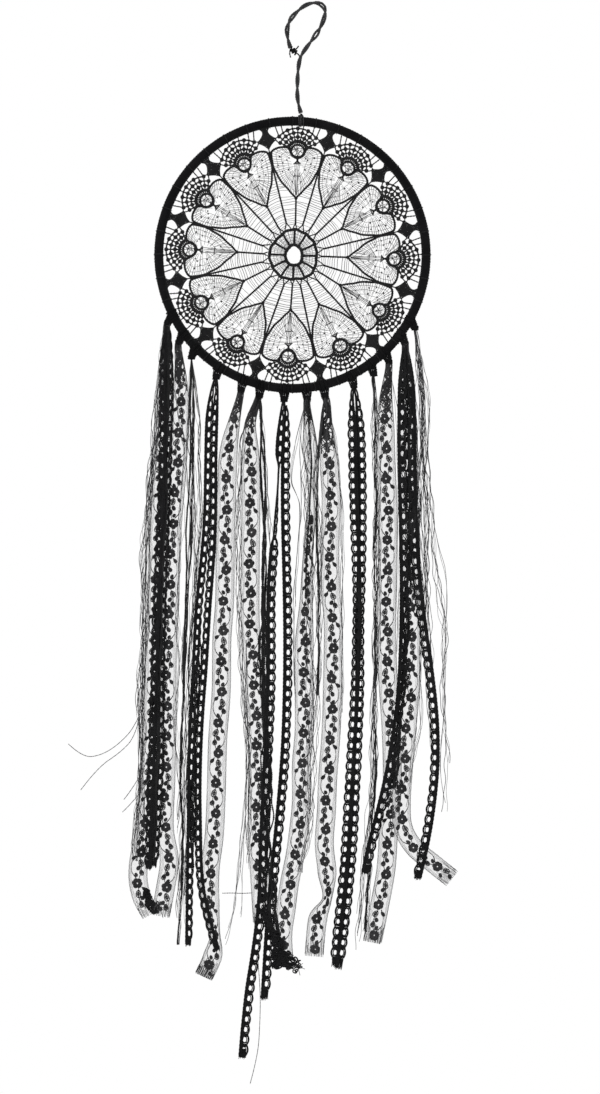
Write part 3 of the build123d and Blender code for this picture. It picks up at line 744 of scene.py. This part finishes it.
# The fan above each heart: rows round the notch's ring, as (reach, degrees covered to each side)
FAN_ROWS = [(7.4, 66), (10.6, 74), (13.8, 68), (17.0, 52)]
# Threads that tie a fan to its neighbours: from (lean, reach) in the fan to (radius, degrees from its middle)
FAN_LINKS = [(13, 17.0, 93.2, 2.7), (39, 17.0, 93.2, 7.4), (52, 17.0, 93.0, 10.0), (52, 17.0, 84.8, 11.0),
             (68, 13.8, 84.0, 11.0)]
# Half of a diamond between two fans: (radius, degrees from its middle)
DIAMOND = np.array([(78.0, 0.1), (80.6, 1.5), (82.6, 3.0), (84.2, 4.3), (85.8, 3.1), (88.0, 1.7), (90.0, 1.1),
                    (91.6, 1.2), (93.4, 2.0)])


def doily_point(radius, angle, back=0.0):
    """A point of the doily, drawn a little uneven, as hand work is: degrees from the first heart's middle."""
    radius, angle, back = np.broadcast_arrays(np.asarray(radius, float), angle, back)
    turn = np.radians(angle + DOILY_TURN)
    ease = np.clip((CHAIN_RADIUS - radius) / 25, 0, 1) * np.clip(radius / 20, 0.2, 1)
    shift = np.clip(1 - radius / 60, 0, 1)
    uneven = 0.55 * np.sin(3 * turn + 1.0) + 0.45 * np.sin(5 * turn + 2.2) + 0.3 * np.sin(14 * turn)
    reach = radius + ease * uneven
    turn = turn + ease * 0.008 * (np.sin(4 * turn + 0.7) + 0.8 * np.sin(9 * turn + 2.0))
    y = back + 0.3 * np.sin(2 * turn + 0.5) * np.clip(radius / 60, 0, 1) * ease
    # the middle is pulled a little aside, and its rings are taller than wide
    near = np.clip((24 - radius) / 8, 0, 1)
    x = reach * np.sin(turn) * (1 - 0.13 * np.clip((12 - radius) / 4, 0, 1)) + 1.2 * shift
    z = reach * np.cos(turn) * (1 + 0.06 * near) - 0.5 * shift
    return np.stack([HOOP_X + x, y, HOOP_Z + z], -1)


def doily_line(corners, step, start=0.0, back=0.0):
    """A smooth line through (radius, degrees) corners, turned by a start angle."""
    radius, angle = np.asarray(corners, float).T
    flat = np.stack([radius * np.sin(np.radians(angle)), radius * np.cos(np.radians(angle))], 1)
    line = curve_through(flat, max(4, int(distances(flat)[-1] / step)))
    turn = np.degrees(np.arctan2(line[:, 0], line[:, 1]))
    return doily_point(np.hypot(line[:, 0], line[:, 1]), turn + start, back)


def straight(low, high, angle, angle_end, step, back=0.0):
    """A straight thread between two (radius, degrees) ends."""
    return doily_line([(low, angle), (high, angle_end)], step, 0.0, back)


def ring_line(radius, step=0.45):
    """A ring round the doily's middle."""
    return doily_point(radius, np.degrees(circle(int(2 * np.pi * radius / step))))


def side_angle(radius):
    """How far the heart's side is from its middle at a radius, up to the widest place."""
    return np.interp(radius, *np.array(HEART_SIDE[:9]).T)


def doily_web():
    """The rings round the hole, the long spokes and the rungs between them."""
    shape = Shape()
    shape.rope(ring_line(7.0), 1.3, 2.8, loop=True)
    shape.rope(ring_line(17.0), 1.2, 2.8, loop=True)
    for heart in range(HEARTS):
        angle = heart * SECTOR
        between = angle + HALF_SECTOR
        shape.rope(straight(7.2, 16.6, angle, angle + rng.uniform(-1.5, 1.5), 0.5), 1.0, 2.6, strands=3)
        shape.ball(doily_point(16.9, angle), (1.45, 1.15, 1.45), 5, 10)
        shape.ball(doily_point(7.0, angle), 1.0, 4, 8)
        for leg in (-1, 1):
            shape.rope(straight(17.2, 21.5, angle + leg * 5.5, angle, 0.6), 0.55, 2.2)
            shape.rope(straight(17.2, 23.0, between + leg * 8.0, between, 0.6), 0.55, 2.2)
        shape.rope(straight(21.0, 40.2, angle + rng.uniform(-0.8, 0.8), angle, 0.55), 0.78, 2.5)
        shape.rope(straight(22.5, 64.0, between + rng.uniform(-0.8, 0.8), between, 0.55), 0.78, 2.5)
        for turn in (7, 11, 15, 19, 23):
            low, high = angle + turn + rng.uniform(-1.5, 1.5, 2)
            shape.tube(straight(7.5, 16.4, low, high, 3), 0.15, 4)
    for radius in (10.0, 12.0, 14.0):
        shape.tube(ring_line(radius, 2.0), 0.13, 4, loop=True)
    shape.make("doily_web", DOILY, "hoop", ["doily"], "doily_cotton")

    shape = Shape()
    for heart in range(HEARTS):
        for half in (-1, 1):
            for radius in np.arange(19.5, 62.5, 1.7):
                inner = 0.0 if radius < 40 else side_angle(radius)
                low, high = radius + rng.uniform(-0.6, 0.6, 2)
                if inner > 14.0 or rng.uniform() < 0.12:
                    continue
                leans = np.array([inner, (inner + HALF_SECTOR) / 2, HALF_SECTOR])
                corners = zip((low, (low + high) / 2 - 0.25, high), heart * SECTOR + half * leans)
                shape.tube(doily_line(list(corners), 2.2), rng.uniform(0.11, 0.21), 4)
    shape.make("doily_rungs", FINE, "hoop", slot="doily_cotton")


def heart_filling(shape, middle):
    """Fine stitches fanned out from under the notch's ring to the outline, and the rows that cross them."""
    side = curve_through(HEART_SIDE, 90)
    step = distances(np.stack([side[:, 0] * np.radians(side[:, 1]), side[:, 0]], 1))
    for half in (-1, 1):
        rows = {share: [] for share in (0.35, 0.6, 0.82)}
        for tip in np.arange(0.6, step[-1] - 7.5, 1.95):
            place = tip + rng.uniform(-0.35, 0.35)
            high = np.array([np.interp(place, step, side[:, 0]), half * np.interp(place, step, side[:, 1])])
            above = high[0] - 66
            hub_angle = 0.5 + 1.6 * np.clip(above / 8, 0, 1)
            hub = np.array([64.6 + 3.0 * np.clip(above / 11, -1, 1), half * hub_angle])
            bow = rng.uniform(-0.4, 0.4)
            near = hub + (high - hub) * rng.choice([0.0, 0.2, 0.4, 0.5])
            line = doily_line([near, (near + high) / 2 + (bow, bow), high], 2.2, middle)
            shape.tube(line, np.linspace(0.1, rng.uniform(0.15, 0.24), len(line)), 4)
            for share in rows:
                rows[share].append(hub + (high - hub) * (share + rng.uniform(-0.02, 0.02)))
        for corners in rows.values():
            shape.tube(doily_line(corners, 1.4, middle), 0.14, 4)
        for lean, radius, size in HEART_DOTS:
            shape.ball(doily_point(radius, middle + half * lean), size, 4, 7)
    for lean in (-1.5, -0.5, 0.6, 1.6):
        shape.tube(straight(64.6, 42.5, middle + lean, middle + lean * 0.5, 4), rng.uniform(0.14, 0.24), 4)


def doily_hearts():
    """The twelve hearts: thick outlines, each lobe's fine filling, and the small ring in the notch."""
    outline, filling = Shape(), Shape()
    for heart in range(HEARTS):
        middle = heart * SECTOR
        between = middle + HALF_SECTOR
        for half in (-1, 1):
            corners = np.array(HEART_SIDE) * (1, half)
            outline.rope(doily_line(corners, 0.5, middle, 0.05 * half), 0.92, 2.6)
        outline.ball(doily_point(40.2, middle), (1.3, 1.0, 1.3))
        outline.ball(doily_point(64.0, between), (1.4, 1.1, 1.4))
        outline.rope(straight(63.8, 75.6, between, between, 0.5), 0.85, 2.5)
        # the ring, its stem and foot
        centre = doily_point(NOTCH_RADIUS, middle)
        out = unit(doily_point(NOTCH_RADIUS + 1, middle) - centre)
        across = np.cross(out, DEPTH)
        outline.rope(oval(centre - DEPTH * 0.3, across * 4.7, out * 4.4, 55), 0.85, 2.6, loop=True)
        for k in range(11):
            lean = k * 0.29 + rng.uniform(-0.1, 0.1)
            spoke = np.cos(lean) * across + np.sin(lean) * out
            slide = (np.cos(lean) * out - np.sin(lean) * across) * rng.uniform(-1.8, 1.8)
            filling.tube(centre + slide + np.linspace(-3.9, 3.9, 5)[:, None] * spoke, 0.17, 4)
        outline.rope(straight(70.2, 66.2, middle, middle, 0.5), 0.95, 2.4)
        outline.ball(doily_point(69.4, middle), (1.7, 1.2, 1.5))
        for lean in (-2.1, -1.05, 0, 1.05, 2.1):
            outline.rope(straight(67.2, 64.8, middle, middle + lean, 0.5), 0.45, 2.0)
        outline.rope(straight(64.8, 64.8, middle - 2.5, middle + 2.5, 0.5), 0.4, 2.0)
        filling.rope(straight(56.1, 56.1, middle - 2.8, middle + 2.8, 0.6), 0.42, 2.0)
        heart_filling(filling, middle)
    outline.make("doily_hearts", DOILY, "hoop", slot="doily_cotton")
    filling.make("doily_heart_filling", FINE, "hoop", slot="doily_cotton")


def fan_corner(reach, lean):
    """A (radius, degrees) corner at a reach from the notch ring's middle, leaning from straight out."""
    x = reach * np.sin(np.radians(lean))
    z = NOTCH_RADIUS + reach * np.cos(np.radians(lean))
    return np.hypot(x, z), np.degrees(np.arctan2(x, z))


def doily_edge():
    """The fans above the hearts, the solid diamonds between them and the chain along the hoop."""
    fans, solid = Shape(), Shape()
    for heart in range(HEARTS):
        middle = heart * SECTOR
        for reach, span in FAN_ROWS:
            row = [fan_corner(reach, lean) for lean in np.linspace(-span, span, 9)]
            fans.rope(doily_line(row, 0.6, middle), 0.78, 2.0, sides=5)
        for lean in np.arange(-5, 6) * FAN_STEP:
            reach = max(row_reach for row_reach, span in FAN_ROWS if abs(lean) <= span)
            spoke = [fan_corner(share * reach, lean) for share in (0.3, 0.65, 1.0)]
            fans.rope(doily_line(spoke, 0.6, middle), 0.7, 2.0, sides=5)
            for row, (row_reach, span) in enumerate(FAN_ROWS):
                if abs(lean) <= span and (row + lean // FAN_STEP) % 2:
                    radius, angle = fan_corner(row_reach, lean)
                    fans.ball(doily_point(radius, middle + angle, -0.15), (1.6, 0.85, 1.6), 4, 9)
        for half in (-1, 1):
            for lean, reach, radius, angle in FAN_LINKS:
                link = [fan_corner(reach, half * lean), (radius, half * angle)]
                fans.rope(doily_line(link, 0.6, middle), 0.6, 2.0, sides=5)
        # the diamond's rows, side by side
        diamond = middle + HALF_SECTOR
        for radius in np.arange(79.0, CHAIN_RADIUS, 0.92):
            width = np.interp(radius, *DIAMOND.T) - 0.35
            back = -0.25 * np.cos((radius - 84) / 6)
            line = straight(radius, radius + 0.01, diamond - width, diamond + width, 0.5, back)
            solid.rope(line, 0.68, 1.9, phase=radius)
        for half in (-1, 1):
            solid.rope(doily_line(DIAMOND * (1, half), 0.5, diamond), 0.6, 2.2)
        solid.rope(straight(75.2, 79.0, diamond, diamond, 0.5), 0.55, 2.2)
    solid.rope(ring_line(CHAIN_RADIUS, 0.5), 0.5, 2.6, loop=True)
    fans.make("doily_fans", DOILY, "hoop", slot="doily_cotton")
    solid.make("doily_diamonds", DOILY, "hoop", slot="doily_cotton")


def doily_ties():
    """Thread loops that draw the doily's edge out to the winding."""
    shape = Shape()
    for angle in np.arange(-180.0, 180.0, 10.0):
        if min(np.radians(abs(angle - knot)) * HOOP_RADIUS - length / 2 for knot, length in TAIL_KNOTS) < 1.2:
            continue
        t = circle(25)
        out = 3.35 * np.cos(t) - 0.25 * (1 - np.cos(t)) - 0.1
        loop = hoop_point(angle + 0.25 * np.sin(t), out, 3.45 * np.sin(t))
        shape.rope(loop, 0.4, 1.6, loop=True, up=loop - hoop_point(angle))
    shape.make("doily_tie_loops", DOILY, "hoop", ["doily_ties"], "doily_cotton")


# ---------------------------------------------------------------- crochet trims

SCALLOP = 7.5


def knot_place(number):
    """Where the strands of a knot start, inside it."""
    return tuple(hoop_point(TAIL_KNOTS[number - 1][0], KNOT_OUT) - (0, 0, TAILS_DROP))


def fringe_cord(name, body):
    """The loose threads beside a strand that hangs from a knot."""
    loose_threads(name, body)


def crochet_trim(name, body):
    """A trim's braided edge, the bars and rings beside it and the scallops on its other edge."""
    trim = TRIMS[name]
    path = Path(trim["route"], trim["depth"], 0.5, knot_place(trim["knot"]))
    seed = int(name[-2:])
    draw = np.random.default_rng(seed)

    def roll(length):
        turn = wander(length, seed, 130, 0.16)
        if "turned" in trim:
            start, end = trim["turned"]
            turn = turn + 1.35 * smooth((length - start) / 14) * (1 - smooth((length - end) / 14))
        return turn

    def at(length, across, out):
        length = np.clip(length, 0, path.total)
        gather = (0.3 + 0.7 * smooth(length / 34)) * trim.get("share", 1.0)
        out = out + (1 - gather) * 0.5 * across
        return path.at(length, trim["side"] * across * gather, out, roll(length))

    shape = Shape()
    run = np.arange(0, path.total, 0.65)
    for strand in range(3):
        wave = run / 4.2 * 2 * np.pi + strand * 2 * np.pi / 3
        shape.tube(at(run, 1.95 + 0.62 * np.sin(wave), 0.34 * np.cos(2 * wave)), 0.5)
    shape.tube(at(run, 0.95 + 0.12 * np.sin(run * 1.9), 0.15 * np.sin(run * 1.3)), 0.46)
    shape.tube(at(run, 2.72 + 0.1 * np.sin(run * 2.1), 0.1 * np.cos(run * 1.7)), 0.4)
    bars = np.arange(trim["first"], path.total, SCALLOP)
    bars = bars + draw.uniform(-0.3, 0.3, len(bars))
    bow = 0.25 * np.sin(np.linspace(0, np.pi, 6)) - 0.12
    for bar in bars:
        for shift in (-1.3, -0.45, 0.45, 1.3):
            length = bar + shift * np.linspace(0.85, 1.1, 6) + draw.uniform(-0.2, 0.2)
            shape.tube(at(length, np.linspace(1.2, -2.3, 6), bow), 0.56, 5)
    half = np.linspace(0, np.pi, 13)
    for first, last in zip(bars, bars[1:]):
        bulge = draw.uniform(0.7, 1.05) * np.sin(half)
        length = first + (last - first) * np.linspace(0.02, 0.98, 13)
        shape.tube(at(length, -1.95 - bulge, 0.1 * np.sin(2 * half)), 0.42, 5)
        shape.tube(at(length, -2.55 - bulge * 1.1, -0.15 * np.sin(2 * half)), 0.36, 5)
        t = circle(18)
        length = (first + last) / 2 + (last - first) * 0.29 * np.cos(t)
        shape.tube(at(length, -0.5 + 1.5 * np.sin(t), 0.2 * np.sin(3 * t)), 0.4, 5, loop=True)
    # the cut end frays into a few short threads
    for strand in range(9):
        line = at(path.total + np.array([-6.0, -0.5]), -2.0 + strand * 0.55, 0.2 * draw.normal())
        tip = line[-1] + path.along[-1] * draw.uniform(0.5, 2.2) + path.side[-1] * draw.uniform(-0.5, 0.5)
        shape.tube(curve_through([line[0], line[-1], tip], 7), np.linspace(0.42, 0.16, 7), 5)
    piece = shape.make(name + "_crochet", TRIM, body, [name], "trim_cotton")
    fringe_cord(name, body)


# ---------------------------------------------------------------- flower ribbons

FLOWER_PITCH = 22.0
HALF_WIDTH = 6.75
KNOT_HALF_WIDTH = 2.2
GATHER_LENGTH = 60.0                   # below the knot, where the ribbon has opened to its full width
# The threads woven along each edge: (how far in from the edge, as a share of the half width, radius)
EDGE_THREADS = [(0.0, 0.17), (0.08, 0.12), (0.2, 0.09), (0.31, 0.09)]
# The leaves between two flowers: (down, across, angle in radians, length, width)
LEAVES = [(4.9, 0.7, 0.35, 5.4, 1.9), (10.0, 1.0, -0.5, 3.2, 1.3), (12.6, 2.0, 0.25, 4.0, 1.6),
          (4.2, -2.4, -0.7, 3.2, 1.1), (15.6, -1.6, 0.5, 2.8, 1.0)]
# The thickness of the arched stem between two flowers, from end to end
ARC_SIZES = np.array([0.42, 0.4, 0.36, 0.3, 0.22, 0.18, 0.16, 0.16, 0.18, 0.22, 0.28, 0.34, 0.38, 0.4])


class Ribbon:
    """A ribbon's surface: along its length, across from -1 to 1, and out from its face."""

    def __init__(self, name):
        ribbon = RIBBONS[name]
        route = ribbon["route"]
        self.seed = int(name[-2:]) + 40
        corners = [(*knot_place(ribbon["knot"]), HALF_WIDTH)]
        for index, (x, z) in enumerate(route):
            corners.append((x, ribbon["depth"], z, ribbon.get("narrow", {}).get(index, HALF_WIDTH)))
        fine = curve_through(corners, 60 * len(route))
        along = distances(fine[:, :3])
        self.total = along[-1]
        self.length = np.arange(0, self.total, 1.0)
        fine = np.stack([np.interp(self.length, along, fine[:, k]) for k in range(4)], 1)
        self.line = fine[:, :3]
        opened = smooth(0.08 + self.length / GATHER_LENGTH)
        self.half = np.minimum(fine[:, 3], KNOT_HALF_WIDTH + (HALF_WIDTH - KNOT_HALF_WIDTH) * opened)
        self.side = unit(np.cross(np.gradient(self.line, axis=0), DEPTH))

    def height_at(self, z):
        """How far down the ribbon a height is."""
        return float(self.length[np.argmin(np.abs(self.line[:, 2] - z))])

    def at(self, length, across, out=0.0):
        """Points of the ribbon; across is a share of its half width."""
        length, across, out = np.broadcast_arrays(np.asarray(length, float), across, out)
        line, side = [np.stack([np.interp(length, self.length, a[:, k]) for k in range(3)], -1)
                      for a in (self.line, self.side)]
        half = np.interp(length, self.length, self.half)
        ripple = wander(length, self.seed, 70, 0.28) + across * wander(length, self.seed + 1, 38, 0.35)
        # a narrow place is gathered into folds
        fold = (1 - half / HALF_WIDTH) * 1.5 * np.sin(across * 5.0 + wander(length, self.seed + 2, 60, 1.0))
        return line + side * (across * half)[..., None] + DEPTH * (ripple + fold + out)[..., None]

    def lay(self, length, across):
        """Points just in front of the net, across in millimetres."""
        return self.at(length, np.asarray(across) / HALF_WIDTH, -0.35)


def petal(shape, ribbon, down, across, angle, reach, width):
    """One petal or leaf on a ribbon, as a filled loop with a rib."""
    t = circle(12)
    c, s = np.cos(angle), np.sin(angle)
    for share in (1.0, 0.5):
        far = reach * (0.5 - 0.5 * share * np.cos(t))
        wide = share * width * np.sin(t) * (0.55 + 0.45 * np.sin(t / 2))
        shape.tube(ribbon.lay(down + far * c - wide * s, across + far * s + wide * c), 0.4, 5, loop=True)
    rib = reach * np.linspace(0.05, 0.95, 4)
    shape.tube(ribbon.lay(down + rib * c, across + rib * s), 0.4, 4)


def flower(shape, ribbon, middle, side, draw):
    """One flower and the leaves and stems below it."""
    spot = 0.5 * side + draw.uniform(-0.4, 0.4)
    turn = draw.uniform(0, 1)
    for petal_number in range(6):
        angle = turn + petal_number * np.pi / 3 + draw.uniform(-0.15, 0.15)
        reach = draw.uniform(2.4, 3.0)
        petal(shape, ribbon, middle + 0.8 * np.cos(angle), spot + 0.8 * np.sin(angle), angle, reach, 1.6)
    t = circle(10)
    shape.tube(ribbon.lay(middle + 1.05 * np.cos(t), spot + 1.05 * np.sin(t)), 0.36, 5, loop=True)
    for down, out, lean, reach, width in LEAVES:
        if middle + down + reach > ribbon.total - 1:
            continue
        place = middle + down + draw.uniform(-0.5, 0.5)
        across = side * out + draw.uniform(-0.3, 0.3)
        angle = side * (lean + draw.uniform(-0.15, 0.15))
        petal(shape, ribbon, place, across, angle, reach * draw.uniform(0.85, 1.1), width)
    if middle + FLOWER_PITCH > ribbon.total:
        return
    stem = ribbon.lay(middle + np.array([3.2, 9.8, 14.5, 19.0]), side * np.array([0.4, 2.1, 2.2, 0.8]))
    shape.tube(curve_through(stem, 12), 0.28, 4)
    reach = draw.uniform(0.86, 1.04)
    bow = np.array([1.8, 4.2 * reach, 5.2 * reach, 4.2, 1.4])
    arc = ribbon.lay(middle + np.array([3.2, 6.6, 10.6, 15.0, 18.8]), -side * bow)
    shape.tube(curve_through(arc, len(ARC_SIZES)), ARC_SIZES, 4)


def flower_ribbon(name, body):
    """A ribbon's net, and in a second piece the lace, edges and loose threads on it."""
    ribbon = Ribbon(name)
    choice = RIBBONS[name]
    draw = np.random.default_rng(ribbon.seed)
    rows = np.arange(0, ribbon.total - 0.5, 2.0)
    at, by = np.meshgrid(rows, np.linspace(-1, 1, 13), indexing="ij")
    # the cut end is a little uneven
    at = at + np.where(at == rows[-1], 0.8 * np.sin(by * 5), 0)
    shape = Shape()
    shape.grid(ribbon.at(at, by), np.stack([at, by * HALF_WIDTH], -1))
    net = shape.make(f"{name}_net", NET, body, [name], "lace_ribbon")

    shape = Shape()
    run = np.arange(0.5, ribbon.total - 1.0, 1.6)
    for edge in (-1, 1):
        for inward, size in EDGE_THREADS:
            wave = 0.015 * np.sin(run * 2.4 + inward * 30) + inward * wander(run, ribbon.seed + 5, 50, 0.25)
            shape.tube(ribbon.at(run, edge * (0.985 - inward) + wave), size, 4)
    height, first_side = choice["flower"]
    first = ribbon.height_at(height)
    above = 0 if "bare_top" in choice else int((first - 9) // FLOWER_PITCH)
    flowers = np.arange(first - above * FLOWER_PITCH, ribbon.total - 5, FLOWER_PITCH)
    flowers = flowers + draw.uniform(-0.5, 0.5, len(flowers))
    for index, middle in enumerate(flowers):
        flower(shape, ribbon, middle, first_side * (-1) ** (above + index), draw)
    # the lace gathered dark below the knot, and the threads of the cut end
    for thread in range(16):
        reach = choice["gathered"] * draw.uniform(0.55, 1.1)
        run = np.linspace(0.3, min(reach, ribbon.total - 2), 16)
        across = wander(run, ribbon.seed + 40 + thread, 26, 0.9) + (thread % 8 - 3.5) * 0.12
        line = ribbon.at(run, np.clip(across, -0.85, 0.85), -0.5)
        shape.tube(line, np.linspace(0.62, 0.3, 16), 4)
    for across in np.linspace(-0.93, 0.93, choice.get("end_threads", 18)):
        run = np.linspace(ribbon.total - draw.uniform(5, 15), ribbon.total - 0.4, 6)
        across = across + np.linspace(0, draw.uniform(-0.08, 0.08), 6)
        shape.tube(ribbon.at(run, across, -0.2), 0.14, 4)
    pieces = [shape.make(f"{name}_lace", LACE, body, slot="lace_ribbon")]
    if name in FOLDED_ENDS:
        pieces.append(folded_end(name, body, *FOLDED_ENDS[name]))


def folded_end(name, body, seed, count, spread, route):
    """A ribbon's lower end, crumpled into a dark tangle of its own threads."""
    draw = np.random.default_rng(seed)
    shape = Shape()
    middle = curve_through(route, count)
    for place, point in enumerate(middle):
        wide = spread * (0.45 + 0.55 * place / count)
        centre = point + np.clip(draw.normal(size=3), -1.2, 1.2) * (wide, 0.5, wide)
        _, first, second = random_tilt(draw, (0.5, 1.0, 0.5))
        size = draw.uniform(0.8, 1.8)
        loop = oval(centre, first * size, second * size * draw.uniform(0.4, 0.8), 10)
        loop[:, 1] = point[1] + (loop[:, 1] - point[1]) * 0.7
        shape.tube(loop, draw.uniform(0.4, 0.65), 5, loop=True)
    end = middle[-1]
    for x, z in ((5.5, 1.5), (7.0, -2.5), (3.5, -7.0)):
        line = curve_through([middle[-count // 5], end + (1, 0, 0), end + (x, 0.3, z)], 9)
        shape.tube(line, 0.2, 4)
    return shape.make(name + "_folds", TRIM, body, slot="lace_ribbon")


# ---------------------------------------------------------------- yarns and fine threads

def loose_threads(name, body):
    """The loose threads round a strand: fine ones in one piece, thick dark ones in another."""
    pieces = []
    for suffix, kinds, material, slot in (("wisps", ("fine", "single"), FIBRE, "fine_thread"),
                                          ("plies", ("dark", "twist"), YARN, "yarn")):
        rows = [row for row in LOOSE.get(name, []) if row[0] in kinds]
        if not rows:
            continue
        shape = Shape()
        for number, (kind, count, spread, depth, route) in enumerate(rows):
            path = Path(route, depth, 2.0 if kind == "fine" else 1.2)
            for fibre in range(count):
                seed = sum(map(ord, name)) * 7 + number * 100 + fibre
                draw = np.random.default_rng(seed)
                end = path.total - draw.uniform(0, 34 if kind == "fine" else 3)
                run = path.length[path.length <= end]
                gather = 0.25 + 0.75 * smooth(run / 40)
                across = (wander(run, seed, 85, spread * 0.5) + draw.uniform(-0.5, 0.5) * spread) * gather
                out = wander(run, seed + 1, 60, min(spread, 2.0) * 0.35) * gather
                line = path.at(run, across, out)
                if kind == "fine":
                    shape.tube(line, draw.uniform(0.11, 0.2), 4)
                elif kind == "single":
                    shape.rope(line, 0.34, 1.8, sides=5)
                elif kind == "twist":
                    shape.rope(line, 0.8, 3.2, strands=3, sides=5)
                else:
                    shape.rope(line, draw.uniform(0.7, 1.05), 3.0, sides=5)
        pieces.append(shape.make(f"{name}_{suffix}", material, body, slot=slot))
    return pieces


def stray_thread(name, body):
    """A single thread that has worked loose."""
    thread = THREADS[name]
    path = Path(thread["route"], thread["depth"], 1.0)
    shape = Shape()
    shape.rope(path.line, 0.34, 1.6, sides=5)
    piece = shape.make(name + "_strands", FIBRE, body, [name], "fine_thread")
    fringe_cord(name, body)


def strand_bundle(name, body):
    """Fine threads that wander beside each other, and in a yarn one thick soft ply."""
    thread = THREADS[name]
    path = Path(thread["route"], thread["depth"], 1.0, knot_place(thread["knot"]))
    seed = sum(map(ord, name))
    run = path.length
    reach = thread["diameter"] / 2
    gather = 0.3 + 0.7 * smooth(run / 34)
    yarn = name.startswith("yarn")
    shape = Shape()
    if yarn:
        thick = 0.75 + 0.4 * np.clip(wander(run, seed, 95, 1.0), -1, 1)
        middle = path.at(run, wander(run, seed + 1, 60, reach * 0.25), wander(run, seed + 2, 45, reach * 0.2))
        shape.rope(middle, thick, 3.4, strands=3)
    for fibre in range(thread["fibres"]):
        if yarn:
            across = wander(run, seed + 10 + fibre, 70, reach * 0.62) * gather
            out = wander(run, seed + 30 + fibre, 50, reach * 0.5) * gather
            count, size = len(run), 0.18
        else:
            lean = 0.5 * reach * ((fibre % 7) - 3) / 3
            across = (wander(run, seed + 10 + fibre, 95, reach * 0.9) + lean) * gather
            out = wander(run, seed + 30 + fibre, 60, reach * 0.5) * gather
            count = round(len(run) * (1 - thread.get("uneven", 0) * (fibre % 4) / 3))
            size = 0.22 if fibre % 5 == 0 else 0.13
        shape.tube(path.at(run, across, out)[:count], size, 4)
    material, slot = (YARN, "yarn") if yarn else (FIBRE, "fine_thread")
    piece = shape.make(name + "_strands", material, body, [name], slot)
    fringe_cord(name, body)


# ---------------------------------------------------------------- the whole thing

BODY_OF = {name: body for body, names in frame["record"]["behaviour"]["bodies"].items() for name in names}

hanger()
hitch()
for trim_name in TRIMS:
    crochet_trim(trim_name, BODY_OF[trim_name])
for thread_name in THREADS:
    make_thread = stray_thread if thread_name.startswith("stray") else strand_bundle
    make_thread(thread_name, BODY_OF[thread_name])
hoop_winding()
tail_knots()
doily_web()
doily_hearts()
doily_edge()
doily_ties()
for ribbon_name in RIBBONS:
    flower_ribbon(ribbon_name, BODY_OF[ribbon_name])
for core_slot in nodes["hoop_core"].material_slots:
    core_slot.material = STEEL


# ---------------------------------------------------------------- stage and light

LIGHT_AIM = np.array([-0.02, 0, -0.35])
# Each light: name, place, power in watts, size in metres
LIGHTS = [("key", (-0.9, -1.6, 0.5), 30, 0.8), ("fill", (1.2, -1.4, -0.4), 12, 1.2),
          ("back", (0.3, 1.8, 0.4), 14, 1.0)]


def stage():
    """A pale floor below, a white world and three soft lights."""
    bpy.ops.mesh.primitive_circle_add(vertices=96, radius=0.6, fill_type="NGON", location=(0, 0, -1.05))
    floor = bpy.context.object
    floor.name = "floor"
    material, _, shader = new_material("floor")
    set_inputs(shader, {"Base Color": (0.9, 0.9, 0.9, 1), "Roughness": 0.8})
    floor.data.materials.append(material)
    world = bpy.data.worlds.new("world")
    bpy.context.scene.world = world
    world.use_nodes = True
    set_inputs(world.node_tree.nodes["Background"], {0: (1, 1, 1, 1), 1: 1.0})
    for name, place, energy, size in LIGHTS:
        light = bpy.data.lights.new(name, "AREA")
        light.energy = energy
        light.size = size
        lamp = bpy.data.objects.new(name, light)
        lamp.location = place
        lamp.rotation_euler = Vector(LIGHT_AIM - place).to_track_quat("-Z", "Y").to_euler()
        bpy.context.scene.collection.objects.link(lamp)


stage()
bpy.context.scene.view_settings.view_transform = "Standard"
